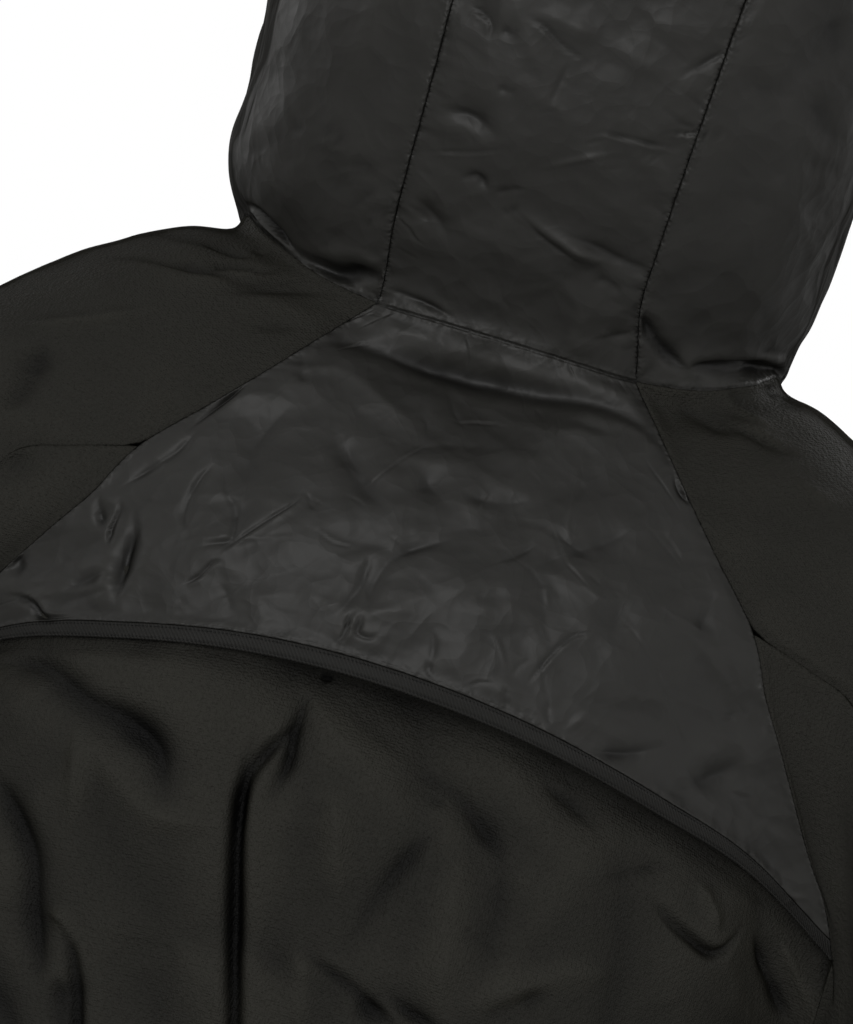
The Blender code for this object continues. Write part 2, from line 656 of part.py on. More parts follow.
def cloth(name, grid, mat, collection, folds=(), lift=0.0, wall=WALL):
    """A wall of cloth from a grid on the form; lift raises its outer face off the form."""
    rows, cols = grid.shape[:2]
    flat = grid.reshape(-1, 3)
    normal = outward(flat)
    push = fold_depth(flat, folds) + np.broadcast_to(lift, (rows, cols)).ravel()
    edged = shrink(grid, normal.reshape(grid.shape), SEAM_GAP / 2).reshape(-1, 3)
    outer = leaned(edged + push[:, None] * normal)
    inner = leaned(edged + (push - wall)[:, None] * normal)
    bm = bmesh.new()
    bmesh.ops.create_grid(bm, x_segments=cols - 1, y_segments=rows - 1, size=1.0)
    made = bmesh.ops.extrude_face_region(bm, geom=bm.faces[:], use_keep_orig=True)
    lining = {v for v in made["geom"] if isinstance(v, bmesh.types.BMVert)}
    for v in bm.verts:
        col = round((v.co.x + 1) / 2 * (cols - 1))
        row = round((v.co.y + 1) / 2 * (rows - 1))
        source = inner if v in lining else outer
        v.co = source[row * cols + col]
    split_rims(bm, lining)
    bmesh.ops.recalc_face_normals(bm, faces=bm.faces[:])
    if bm.calc_volume(signed=True) < 0:
        bmesh.ops.reverse_faces(bm, faces=bm.faces[:])
    obj = add_object(name, bm, mat, collection)
    obj.data.shade_smooth()
    return obj


def shared_seams():
    """Every seam that two or more panels share, by name.  All are the wearer's left ones."""
    armpit = settle([ARMPIT])[0]
    neck = neck_seams()
    raglan = raglan_seams(neck["neck_back"][-1], neck["neck_side"][-1], armpit)
    seams = {**neck, **raglan}
    seams["neck_cape"] = joined(mirrored(neck["neck_back"][::-1]), neck["neck_back"])
    seams["sleeve_back"] = sleeve_seam("back", 1, raglan["back_middle"][0])
    seams["sleeve_front"] = sleeve_seam("front", -1, raglan["front_lower"][0])
    seams["side"] = side_seam(armpit)
    return seams


def cape_edge_and_tip(seams):
    """Upper and lower edge of the binding, from raglan seam to raglan seam."""
    corner, tip = seams["back_binding"]
    share = np.linspace(-1, 1, N_NECK_BACK + 1)
    rise = corner[2] - cape_arch(tip[0])
    edge_z = cape_arch(share * tip[0]) + BINDING_WIDTH + (rise - BINDING_WIDTH) * np.abs(share)
    edge = face_on(np.stack([share * corner[0], edge_z], axis=1), 1)
    edge[0], edge[-1] = mirrored(corner), corner
    low = face_on(np.stack([share * tip[0], cape_arch(share * tip[0])], axis=1), 1)
    low[0], low[-1] = mirrored(tip), tip
    return edge, low


def add_cape(seams, finish, jacket, folds):
    """Back cape, free along its lower edge, and the binding on that edge."""
    edge, low = cape_edge_and_tip(seams)
    raglan = joined(seams["back_upper"], seams["back_middle"])
    grid = panel(seams["neck_cape"], edge, mirrored(raglan), raglan)
    across = np.linspace(0, 1, grid.shape[1])[None]
    down = np.linspace(0, 1, grid.shape[0])[:, None]
    lift = CAPE_LIFT * smoothstep(CAPE_EASE * np.minimum(across, 1 - across)) * smoothstep(2 * down - 1)
    cloth("back_cape", grid, finish["shiny"], jacket, folds, lift)
    cloth("cape_binding", np.stack([edge, low]), finish["tape"], jacket, folds, lift[-1:] + BINDING_PROUD,
          BINDING_WALL)


def add_lower_back(seams, finish, jacket, folds):
    """Lower back, from under the cape to the hem."""
    tuck, tip = seams["back_middle"][-2], seams["back_binding"][-1]
    sides = joined(seams["back_middle"][-2:], seams["back_binding"], seams["back_lower"], seams["side"])
    share = np.linspace(-1, 1, N_BODY + 1)
    top_z = cape_arch(share * tip[0]) + tuck[2] - cape_arch(tip[0])
    top = face_on(np.stack([share * tuck[0], top_z], axis=1), 1)
    top[0], top[-1] = mirrored(tuck), tuck
    hem = hem_arc(mirrored(sides[-1]), sides[-1], 1, HEM_BULGE["back"], N_BODY)
    grid = panel(top, hem, mirrored(sides), sides)
    above = grid[..., 2] - cape_arch(np.clip(grid[..., 0], -tip[0], tip[0]))
    sink = -BODY_SINK * smoothstep(1 + above / SINK_REACH)
    cloth("lower_back", grid, finish["matte"], jacket, folds, sink)


def hood_edges():
    """Edge of the hood round the face: middle of the brow to the centre seam, and on to the chin."""
    turn = np.linspace(90, 180, EDGE_SAMPLES)
    brow_turn = np.interp(-HOOD_SEAM_CROWN[-1, 0], -face_opening(turn)[:, 0], turn)
    chin_turn = np.interp(-ZIP_EDGE, -face_opening(90 - turn / 2)[:, 0], 90 - turn / 2)
    brow = face_opening(np.linspace(180, brow_turn, N_NECK_BACK // 2 + 1))
    brow[0, 0] = 0.0
    return brow, face_opening(np.linspace(brow_turn, chin_turn, N_NECK_SIDE + N_NECK_FRONT + 1))


def middle_edge(top, bottom_z, count):
    """Edge of a front or hood side beside the zip, downward or upward from a neck corner."""
    z = np.linspace(top[2], bottom_z, count + 1)
    edge = face_on(np.stack([np.full(len(z), ZIP_EDGE), z], axis=1), -1)
    edge[0] = top
    return edge


def add_hood(seams, finish, jacket, folds):
    """Hood: a centre panel from the neck to the brow, and two sides down to the zip."""
    half_brow, opening = hood_edges()
    brow = joined(mirrored(half_brow[::-1]), half_brow)
    seam = hood_seam(seams["neck_back"][-1], opening[0])
    cloth("hood_centre", panel(seams["neck_cape"], brow, mirrored(seam), seam), finish["shiny"], jacket,
          folds)
    collar = middle_edge(seams["neck_front"][-1], opening[-1, 2], N_HOOD)
    collar[-1] = opening[-1]
    side = panel(joined(seams["neck_side"], seams["neck_front"]), opening, seam, collar)
    for wearer, flip in WEARER_SIDES:
        cloth("hood_side_" + wearer, side * flip, finish["shiny"], jacket, folds)
    return collar


def add_sleeves(seams, finish, jacket, folds):
    """Sleeves: an upper panel over the shoulder and an under panel from the armpit."""
    back, front = seams["sleeve_back"], seams["sleeve_front"]
    cuff = cuff_arc(back[-1], front[-1], N_NECK_SIDE, 0.0)
    upper = panel(seams["neck_side"], cuff, joined(seams["back_upper"], back),
                  joined(seams["front_upper"], front), sleeve_cut=-math.pi)
    armhole = joined(seams["back_middle"], seams["back_binding"], seams["back_lower"],
                     seams["front_lower"][::-1])
    cuff = cuff_arc(back[-1], front[-1], len(armhole) - 1, math.pi)
    under = panel(armhole, cuff, back, front, sleeve_cut=0.0, rounds=UNDER_ROUNDS)
    for wearer, flip in WEARER_SIDES:
        cloth("sleeve_upper_" + wearer, upper * flip, finish["matte"], jacket, folds)
        cloth("sleeve_under_" + wearer, under * flip, finish["matte"], jacket, folds)


def add_fronts(seams, finish, jacket, folds):
    """Fronts, from the neck to the hem."""
    outer = joined(seams["front_upper"], seams["front_lower"], seams["side"])
    middle = middle_edge(seams["neck_front"][-1], HEM_Z, len(outer) - 1)
    hem = hem_arc(outer[-1], middle[-1], -1, HEM_BULGE["front"], N_NECK_FRONT)
    front = panel(seams["neck_front"], hem, outer, middle)
    for wearer, flip in WEARER_SIDES:
        cloth("front_" + wearer, front * flip, finish["matte"], jacket, folds)
    return middle


def build():
    for obj in list(bpy.data.objects):
        bpy.data.objects.remove(obj)
    jacket = bpy.data.collections.new("padded_jacket")
    bpy.context.scene.collection.children.link(jacket)
    finish = {
        "shiny": material("shiny_padded_cloth", SHINY_CLOTH, 0.5),
        "matte": material("matte_padded_cloth", MATTE_CLOTH, 0.75),
        "tape": material("binding", BINDING_CLOTH, 0.6),
        "black": material("zip_black", ZIP_BLACK, 0.5),
        "metal": material("zip_metal", METAL, 0.4, 0.8),
    }
    folds = fold_paths()
    seams = shared_seams()
    add_cape(seams, finish, jacket, folds)
    add_lower_back(seams, finish, jacket, folds)
    collar = add_hood(seams, finish, jacket, folds)
    add_sleeves(seams, finish, jacket, folds)
    middle = add_fronts(seams, finish, jacket, folds)
    add_zip(joined(collar[::-1], middle), finish, jacket, folds)


def zip_strip(line, inner, outer):
    """Rows of points beside the middle, at the height and depth of a line."""
    grid = np.repeat(line[:, None], 2, axis=1)
    grid[:, 0, 0] = inner
    grid[:, 1, 0] = outer
    return grid


def add_zip(line, finish, jacket, folds):
    """Coil, two tapes, and a slider with its pull tab, closed up to the chin."""
    strip = zip_strip(line, TAPE_INNER, ZIP_EDGE)
    for wearer, flip in WEARER_SIDES:
        cloth("zip_tape_" + wearer, strip * flip, finish["tape"], jacket, folds, -TAPE_SINK, TAPE_WALL)
    top = line[0]
    z = top[2] - SLIDER_DROP
    y = np.interp(-z, -line[:, 2], line[:, 1])
    chain = np.concatenate([[(ZIP_EDGE, y, z)], line[line[:, 2] < z - SHORTEST_STEP]])
    cloth("zip_chain", zip_strip(chain, -CHAIN_HALF, CHAIN_HALF), finish["black"], jacket, folds,
          CHAIN_PROUD, CHAIN_WALL)
    add_slider(line, finish["metal"], jacket)


def box(bm, size, centre):
    made = bmesh.ops.create_cube(bm, size=1.0)
    bmesh.ops.scale(bm, vec=size, verts=made["verts"])
    bmesh.ops.translate(bm, vec=centre, verts=made["verts"])
    return made["verts"]


def crosswise_cylinder(bm, radius, width, centre, segments=20):
    """A cylinder whose axis runs along X."""
    made = bmesh.ops.create_cone(bm, cap_ends=True, segments=segments, radius1=radius, radius2=radius,
                                 depth=width)
    turn = Matrix.Rotation(math.pi / 2, 3, "Y")
    bmesh.ops.rotate(bm, cent=(0, 0, 0), matrix=turn, verts=made["verts"])
    bmesh.ops.translate(bm, vec=centre, verts=made["verts"])


def cut(obj, name, bm, operation, collection):
    """Join (UNION) or take away (DIFFERENCE) a helper shape."""
    helper = add_object(name, bm, obj.data.materials[0], collection)
    helper.hide_render = True
    helper.display_type = "WIRE"
    modifier = obj.modifiers.new(name, "BOOLEAN")
    modifier.operation = operation
    modifier.object = helper


def add_slider(line, metal, collection):
    """Slider in front of the tapes at the chin, and its pull tab hanging on a pin."""
    top = line[0]
    helpers = bpy.data.collections.new("helpers")
    bpy.context.scene.collection.children.link(helpers)
    width, depth, height = SLIDER
    slope_at_chin = np.interp(top[2] - 0.03, line[::-1, 2], line[::-1, 1]) - top[1]
    lean = Matrix.Rotation(math.atan2(slope_at_chin, 0.03), 3, "X")
    ahead = lean @ Vector((0, -1, 0))
    along_zip = lean @ Vector((0, 0, -1))
    chin = Vector((0, top[1], top[2]))
    middle = chin + along_zip * (SLIDER_DROP + height / 2) + ahead * (SLIDER_CLEAR + depth / 2)
    pin = middle + ahead * (depth / 2 + PIN_STAND)

    bm = bmesh.new()
    box(bm, (width, depth, height), (0, 0, 0))
    slider = add_object("zip_slider", bm, metal, collection)
    bevel = slider.modifiers.new("rounding", "BEVEL")
    bevel.width = 0.0009
    bevel.segments = 2
    for sign in (-1, 1):
        bm = bmesh.new()
        box(bm, LUG, (sign * (LUG_SPAN + LUG[0]) / 2, -depth / 2 - LUG[1] / 2 + LUG_ROOT, 0))
        cut(slider, f"lug_{sign}", bm, "UNION", helpers)
    bm = bmesh.new()
    crosswise_cylinder(bm, PIN_RADIUS, LUG_SPAN + LUG[0], (0, -depth / 2 - PIN_STAND, 0))
    cut(slider, "pin", bm, "UNION", helpers)
    for obj in (slider, *(m.object for m in slider.modifiers if m.type == "BOOLEAN")):
        obj.location = middle
        obj.rotation_euler = lean.to_euler()

    bm = bmesh.new()
    box(bm, TAB, (0, 0, -TAB[2] / 2))
    tab = add_object("zip_pull", bm, metal, collection)
    for name, radius, width, operation in (("tab_eye", TAB_EYE[0], TAB[0], "UNION"),
                                           ("tab_bore", TAB_EYE[1], TAB[0] * 1.5, "DIFFERENCE")):
        bm = bmesh.new()
        crosswise_cylinder(bm, radius, width, (0, 0, 0))
        cut(tab, name, bm, operation, helpers)
        bpy.data.objects[name].location = pin
    tab.location = pin


if __name__ == "__main__":
    build()
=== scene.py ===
"""Looks of a padded hooded jacket in its worn shape, with no wearer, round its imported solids."""

import math

import bpy
import numpy as np
from mathutils import Matrix, Vector


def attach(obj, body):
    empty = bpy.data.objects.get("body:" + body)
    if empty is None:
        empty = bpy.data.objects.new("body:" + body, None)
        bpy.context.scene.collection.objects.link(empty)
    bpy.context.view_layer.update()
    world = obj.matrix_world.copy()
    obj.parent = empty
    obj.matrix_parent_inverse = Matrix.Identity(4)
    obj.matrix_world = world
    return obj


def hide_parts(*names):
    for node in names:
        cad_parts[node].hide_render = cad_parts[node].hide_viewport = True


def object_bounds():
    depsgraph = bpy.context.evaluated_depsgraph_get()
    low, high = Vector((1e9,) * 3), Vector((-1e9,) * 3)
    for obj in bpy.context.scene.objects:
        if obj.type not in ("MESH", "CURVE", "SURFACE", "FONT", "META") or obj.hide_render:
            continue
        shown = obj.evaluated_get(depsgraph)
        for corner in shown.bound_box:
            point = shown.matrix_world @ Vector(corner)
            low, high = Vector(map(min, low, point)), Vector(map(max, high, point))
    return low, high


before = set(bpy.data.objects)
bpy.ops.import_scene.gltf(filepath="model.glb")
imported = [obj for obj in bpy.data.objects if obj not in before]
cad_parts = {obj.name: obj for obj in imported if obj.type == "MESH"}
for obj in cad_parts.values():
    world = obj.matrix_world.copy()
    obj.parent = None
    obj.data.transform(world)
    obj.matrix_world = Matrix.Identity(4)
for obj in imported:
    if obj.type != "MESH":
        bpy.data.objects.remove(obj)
cad_low, cad_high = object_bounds()

# ---------------------------------------------------------------------------
# Camera, floor and light
# The camera stands level behind the wearer, close on the hood, the back cape
# and the shoulders, and leans to one side.  Lamps and world are soft and plain.
CAMERA_DISTANCE = 5.0
CAMERA_TARGET = Vector((0.0107, 0.10, -0.0752))
CAMERA_LEAN = math.radians(17.0)
VIEW_HEIGHT = 0.4096          # what the frame takes in at the target
SENSOR = 36.0
FLOOR_DROP = 0.030            # floor below the lowest edge
FLOOR_RADIUS = 9.0
SKY_LIGHT = 0.36

camera_data = bpy.data.cameras.new("camera")
camera_data.sensor_width = SENSOR
camera_data.lens = SENSOR * CAMERA_DISTANCE / VIEW_HEIGHT
camera_data.clip_end = 50.0
camera = bpy.data.objects.new("camera", camera_data)
bpy.context.scene.collection.objects.link(camera)
right = Vector((-math.cos(CAMERA_LEAN), 0, math.sin(CAMERA_LEAN)))
up = Vector((math.sin(CAMERA_LEAN), 0, math.cos(CAMERA_LEAN)))
back = Vector((0, 1, 0))
camera.matrix_world = Matrix.Translation(CAMERA_TARGET + back * CAMERA_DISTANCE) @ Matrix(
    (right, up, back)).transposed().to_4x4()
bpy.context.scene.camera = camera
bpy.context.scene.view_settings.view_transform = "Standard"


def lamp(name, place, aim, size, power):
    """A square soft box at a place, turned to face a point."""
    light = bpy.data.lights.new(name, "AREA")
    light.size = size
    light.energy = power
    obj = bpy.data.objects.new(name, light)
    obj.location = place
    obj.rotation_euler = (Vector(place) - Vector(aim)).to_track_quat("Z", "Y").to_euler()
    bpy.context.scene.collection.objects.link(obj)


lamp("key_behind", (0.35, 2.65, 0.55), (0.0, 0.1, -0.1), 0.9, 45.0)
lamp("fill_behind", (-2.2, 1.5, 0.3), (0.0, 0.0, -0.2), 1.4, 8.0)
lamp("fill_beside", (2.5, 0.2, 0.6), (0.0, 0.0, 0.0), 1.2, 9.0)
lamp("key_in_front", (-1.2, -2.2, 1.6), (0.0, -0.1, -0.2), 1.3, 34.0)
lamp("fill_in_front", (2.0, -1.8, 0.3), (0.0, 0.0, -0.3), 1.4, 12.0)

def added(nodes, kind, values=(), **settings):
    """A new node with its settings and the plain values of its sockets."""
    node = nodes.new(kind)
    for setting, value in settings.items():
        setattr(node, setting, value)
    for socket, value in dict(values).items():
        node.inputs[socket].default_value = value
    return node


world = bpy.data.worlds.new("studio")
bpy.context.scene.world = world
world.use_nodes = True
nodes, links = world.node_tree.nodes, world.node_tree.links
nodes.clear()
path = added(nodes, "ShaderNodeLightPath")
seen = added(nodes, "ShaderNodeMath", operation="MAXIMUM")
seen_too = added(nodes, "ShaderNodeMath", operation="MAXIMUM")
level = added(nodes, "ShaderNodeMapRange", {"To Min": SKY_LIGHT, "To Max": 1.0})
sky = added(nodes, "ShaderNodeBackground", {"Color": (1, 1, 1, 1)})
out = added(nodes, "ShaderNodeOutputWorld")
links.new(path.outputs["Is Camera Ray"], seen.inputs[0])
links.new(path.outputs["Is Glossy Ray"], seen.inputs[1])
links.new(seen.outputs[0], seen_too.inputs[0])
links.new(path.outputs["Is Transmission Ray"], seen_too.inputs[1])
links.new(seen_too.outputs[0], level.inputs["Value"])
links.new(level.outputs["Result"], sky.inputs["Strength"])
links.new(sky.outputs["Background"], out.inputs["Surface"])

floor_mat = bpy.data.materials.new("floor")
floor_mat.use_nodes = True
floor_shader = floor_mat.node_tree.nodes["Principled BSDF"]
floor_look = {"Base Color": (0.80, 0.80, 0.79, 1), "Roughness": 0.9, "Specular IOR Level": 0.1}
for socket, value in floor_look.items():
    floor_shader.inputs[socket].default_value = value
bpy.ops.mesh.primitive_circle_add(vertices=96, radius=FLOOR_RADIUS, fill_type="NGON",
                                  location=(0, 0, cad_low.z - FLOOR_DROP))
floor = bpy.context.object
floor.name = "floor"
floor.data.materials.append(floor_mat)

# ---------------------------------------------------------------------------
# Back cape
# A loose yoke of smooth padded nylon over the shoulder blades.  It is sewn to
# the hood at the neck and to both raglan sleeves, and hangs free at its arch.
# All cloth lies on one form: torso, sleeves and hood blended together.
MM = 0.001
FINE = 8                 # steps of the fine grid to one step of the coarse grid
TORSO = np.array([
    # z,     half width, back y, front y
    (-0.740, 0.2240,     0.1320, -0.1480),
    (-0.600, 0.2170,     0.1320, -0.1540),
    (-0.450, 0.2030,     0.1220, -0.1550),
    (-0.330, 0.1930,     0.1230, -0.1530),
    (-0.230, 0.1920,     0.1280, -0.1420),
    (-0.130, 0.1880,     0.1200, -0.1160),
])
TORSO_DOME = (-0.130, 0.128)     # the shoulders close from this height, over this rise
TORSO_SQUARENESS = 2.35
HOOD = np.array([
    # z,     half width, back y, front y
    (-0.120, 0.0900,     0.0600, -0.0860),
    (-0.040, 0.0990,     0.0650, -0.0960),
    (0.010,  0.1105,     0.0745, -0.1105),
    (0.040,  0.1224,     0.0930, -0.1230),
    (0.080,  0.1262,     0.1130, -0.1320),
    (0.140,  0.1275,     0.1270, -0.1360),
    (0.190,  0.1240,     0.1300, -0.1340),
])
HOOD_DOME = (0.170, 0.148)
HOOD_SQUARENESS = 2.6
HOOD_LEAN = 0.0054               # the back of the hood stands this far to the wearer's left
LEAN_RISE = (0.000, 0.035)       # from this height, reached over this rise
LEAN_DEPTH = (-0.100, 0.060)     # from this far in front, reached over this depth
SLEEVE = np.array([
    # x,     y,       z,       radius, down the middle of the wearer's left sleeve
    (0.050,  0.0040, -0.0520,  0.0708),
    (0.098,  0.0060, -0.0548,  0.0712),
    (0.125,  0.0080, -0.0670,  0.0720),
    (0.152,  0.0090, -0.0902,  0.0727),
    (0.190,  0.0080, -0.1275,  0.0718),
    (0.224,  0.0060, -0.1678,  0.0699),
    (0.253,  0.0030, -0.2168,  0.0677),
    (0.277,  0.0000, -0.2850,  0.0655),
    (0.304, -0.0040, -0.3800,  0.0630),
    (0.325, -0.0120, -0.4650,  0.0590),
    (0.346, -0.0300, -0.5600,  0.0520),
    (0.364, -0.0520, -0.6550,  0.0430),
])
SLEEVE_BLEND = 0.030
HOOD_BLEND = 0.012


def smooth(t, knots, values):
    """Value at t of the smooth curve through (knots, values)."""
    knots = np.asarray(knots, float)
    values = np.asarray(values, float)
    t = np.clip(np.asarray(t, float), knots[0], knots[-1])
    slopes = np.gradient(values, knots, axis=0)
    i = np.clip(np.searchsorted(knots, t, side="right") - 1, 0, len(knots) - 2)
    h = knots[i + 1] - knots[i]
    u = (t - knots[i]) / h
    if values.ndim > 1:
        h = h[..., None]
        u = u[..., None]
    start = (1 + 2 * u) * (1 - u) ** 2 * values[i] + u * (1 - u) ** 2 * h * slopes[i]
    end = u * u * (3 - 2 * u) * values[i + 1] - u * u * (1 - u) * h * slopes[i + 1]
    return start + end


def arc_length(points):
    steps = np.linalg.norm(np.diff(points, axis=0), axis=1)
    return np.concatenate([[0.0], np.cumsum(steps)])


def along(points, count):
    """count + 1 points evenly spaced on the smooth curve through the given points."""
    points = np.asarray(points, float)
    fine = smooth(np.linspace(0, len(points) - 1, 40 * len(points)), np.arange(len(points)), points)
    length = arc_length(fine)
    even = np.linspace(0, length[-1], count + 1)
    return np.stack([np.interp(even, length, fine[:, k]) for k in range(fine.shape[1])], axis=1)


def smoothstep(t):
    t = np.clip(t, 0.0, 1.0)
    return t * t * (3 - 2 * t)


def unit(vectors):
    return vectors / (np.linalg.norm(vectors, axis=-1, keepdims=True) + 1e-12)


SLEEVE_LINE = along(SLEEVE, 60)
SLEEVE_S = arc_length(SLEEVE_LINE[:, :3])


def blend(a, b, reach):
    """Union of two distances with a fillet of the given reach."""
    h = np.clip(0.5 + 0.5 * (b - a) / reach, 0.0, 1.0)
    return b * (1 - h) + a * h - reach * h * (1 - h)


def section_distance(p, table, dome, squareness):
    """Distance to a body of rounded sections that closes in a dome."""
    half, back_y, front_y = smooth(p[:, 2], table[:, 0], table[:, 1:]).T
    middle = 0.5 * (back_y + front_y)
    depth = 0.5 * (back_y - front_y)
    x = np.abs(p[:, 0]) / half
    y = np.abs(p[:, 1] - middle) / depth
    z = np.maximum(p[:, 2] - dome[0], 0.0) / dome[1]
    flat = (x ** squareness + y ** squareness) ** (2.0 / squareness)
    size = np.sqrt(flat + z * z) + 1e-9
    reach = np.sqrt(p[:, 0] ** 2 + (p[:, 1] - middle) ** 2 + (z * dome[1]) ** 2)
    return reach * (1 - 1 / size)


def sleeve_nearest(p):
    """Nearest place on the sleeve's middle line: arc length, point, radius, distance."""
    q = p.copy()
    q[:, 0] = np.abs(q[:, 0])
    start = SLEEVE_LINE[:-1, :3]
    step = SLEEVE_LINE[1:, :3] - start
    square = (step * step).sum(1)
    t = np.clip((q @ step.T - (start * step).sum(1)) / square, 0.0, 1.0)
    gap = sum((q[:, k:k + 1] - start[:, k] - t * step[:, k]) ** 2 for k in range(3))
    k = gap.argmin(axis=1)
    row = np.arange(len(q))
    t = t[row, k]
    here = SLEEVE_LINE[k] + t[:, None] * (SLEEVE_LINE[k + 1] - SLEEVE_LINE[k])
    s = SLEEVE_S[k] + t * (SLEEVE_S[k + 1] - SLEEVE_S[k])
    return s, here[:, :3], here[:, 3], np.sqrt(gap[row, k])


def form(p):
    """Signed distance, negative inside, to the whole filled-out jacket."""
    torso = section_distance(p, TORSO, TORSO_DOME, TORSO_SQUARENESS)
    radius, gap = sleeve_nearest(p)[2:]
    hood = section_distance(p, HOOD, HOOD_DOME, HOOD_SQUARENESS)
    return blend(blend(torso, gap - radius, SLEEVE_BLEND), hood, HOOD_BLEND)


def slope(p, step=0.001):
    """Gradient of the form."""
    found = np.empty_like(p)
    for axis in range(3):
        side = np.zeros(3)
        side[axis] = step
        found[:, axis] = (form(p + side) - form(p - side)) / (2 * step)
    return found


def settle(p, rounds=8):
    """Move points along the slope until they lie on the form."""
    p = np.array(p, float).reshape(-1, 3)
    for _ in range(rounds):
        g = slope(p)
        step = form(p)[:, None] * g / (g * g).sum(1, keepdims=True)
        size = np.linalg.norm(step, axis=1, keepdims=True)
        p = p - step * np.minimum(1.0, 0.02 / np.maximum(size, 1e-9))
    return p


def cast(origin, direction, start, end=0.0):
    """First points of the form met on the way from start down to end along each ray."""
    reach = np.linspace(start, end, 65)
    inside = np.stack([form(origin + r * direction) < 0 for r in reach], axis=1)
    first = np.maximum(inside.argmax(axis=1), 1)
    far, near = reach[first - 1], reach[first]
    for _ in range(25):
        middle = 0.5 * (far + near)
        hit = form(origin + middle[:, None] * direction) < 0
        near = np.where(hit, middle, near)
        far = np.where(hit, far, middle)
    return origin + near[:, None] * direction


def face_on(xz, side):
    """Points of the form that are seen at (x, z) from behind (side 1) or in front (side -1)."""
    xz = np.asarray(xz, float)
    origin = np.stack([xz[:, 0], np.zeros(len(xz)), xz[:, 1]], axis=1)
    return cast(origin, np.tile([0.0, side, 0.0], (len(xz), 1)), 0.30, -0.02)


def evenly(points, count):
    """The curve through the points in count even steps, laid on the form between its ends."""
    curve = along(points, count)
    curve[1:-1] = settle(curve[1:-1])
    curve[0], curve[-1] = points[0], points[-1]
    return curve


def mirrored(points):
    return points * np.array([-1.0, 1.0, 1.0])


def leaned(p):
    """Points moved to the wearer's left where the hood leans."""
    rise = smoothstep((p[..., 2] - LEAN_RISE[0]) / LEAN_RISE[1])
    depth = smoothstep((p[..., 1] - LEAN_DEPTH[0]) / LEAN_DEPTH[1])
    return p + HOOD_LEAN * (rise * depth)[..., None] * np.array([1.0, 0.0, 0.0])


def joined(*curves):
    """Curves end to end, each shared point kept once."""
    return np.concatenate([curves[0]] + [curve[1:] for curve in curves[1:]])


def coons(top, bottom, left, right):
    """Grid of points between four edges; rows run from the top edge to the bottom edge."""
    u = np.linspace(0, 1, len(top))[None, :, None]
    v = np.linspace(0, 1, len(left))[:, None, None]
    edges = (1 - v) * top[None] + v * bottom[None] + (1 - u) * left[:, None] + u * right[:, None]
    corners = (1 - v) * ((1 - u) * top[0] + u * top[-1]) + v * ((1 - u) * bottom[0] + u * bottom[-1])
    return edges - corners


def resample(grid, rows, cols):
    """Values of a grid at fractional rows and columns, on smooth curves both ways."""
    r, c, k = grid.shape
    down = smooth(rows, np.arange(r), grid.reshape(r, c * k)).reshape(len(rows), c, k)
    across = smooth(cols, np.arange(c), down.transpose(1, 0, 2).reshape(c, -1))
    return across.reshape(len(cols), len(rows), k).transpose(1, 0, 2)


def relaxed(grid, rounds):
    """Even out a grid on the form by averaging, its four edges kept."""
    for _ in range(rounds):
        column = grid[2:, 1:-1] - grid[:-2, 1:-1]
        row = grid[1:-1, 2:] - grid[1:-1, :-2]
        by_column = (row * row).sum(2, keepdims=True)
        by_row = (column * column).sum(2, keepdims=True)
        mean = (by_column * (grid[:-2, 1:-1] + grid[2:, 1:-1]) +
                by_row * (grid[1:-1, :-2] + grid[1:-1, 2:])) / (2 * (by_column + by_row))
        grid[1:-1, 1:-1] = settle(mean.reshape(-1, 3), rounds=2).reshape(mean.shape)
    return grid


def panel(top, bottom, left, right, flat=None, unflat=None, rounds=40):
    """Fine grid on the form between four dense seams.  It is evened out coarse, then filled in."""
    edges = [curve[::FINE] for curve in (top, bottom, left, right)]
    start = coons(*(edges if flat is None else [flat(edge) for edge in edges]))
    start = start.reshape(-1, 3) if flat is None else unflat(start.reshape(-1, 3))
    coarse = settle(start).reshape(len(edges[2]), len(edges[0]), 3)
    coarse[0], coarse[-1], coarse[:, 0], coarse[:, -1] = edges
    coarse = relaxed(coarse, rounds)
    grid = resample(coarse, np.linspace(0, len(coarse) - 1, len(left)),
                    np.linspace(0, coarse.shape[1] - 1, len(top)))
    grid += coons(top - grid[0], bottom - grid[-1], left - grid[:, 0], right - grid[:, -1])
    grid[1:-1, 1:-1] = settle(grid[1:-1, 1:-1], rounds=3).reshape(grid[1:-1, 1:-1].shape)
    return grid


def ripple(p, seed):
    """Smooth noise at points of space, one lattice cell to a unit, between about -1 and 1."""
    grain = np.random.default_rng(seed)
    order = grain.permutation(256)
    lean = unit(grain.normal(size=(256, 3)))
    cell = np.floor(p).astype(int)
    inner = p - cell
    fade = inner ** 3 * (inner * (inner * 6 - 15) + 10)
    total = np.zeros(p.shape[:-1])
    for corner in range(8):
        step = np.array([corner & 1, corner >> 1 & 1, corner >> 2 & 1])
        i, j, k = np.moveaxis((cell + step) & 255, -1, 0)
        pull = lean[order[(order[(order[i] + j) & 255] + k) & 255]]
        weight = np.where(step, fade, 1 - fade).prod(-1)
        total += weight * (pull * (inner - step)).sum(-1)
    return 1.6 * total


PROFILES = {
    "gap": lambda x: -np.exp(-x * x) + 0.12 * np.exp(-0.4 * (x - 2.4) ** 2),
    "trough": lambda x: -np.exp(-1.3 * np.abs(x) ** np.where(x > 0, 1.1, 1.5)),
    "ridge": lambda x: np.exp(-1.3 * np.abs(x) ** 1.6),
    "lip": lambda x: 0.85 * np.exp(-1.5 * np.abs(x + 0.5)) - 1.25 * np.exp(-1.9 * np.abs(x - 0.15) ** 1.2),
}
CREASE_REACH = 3.4


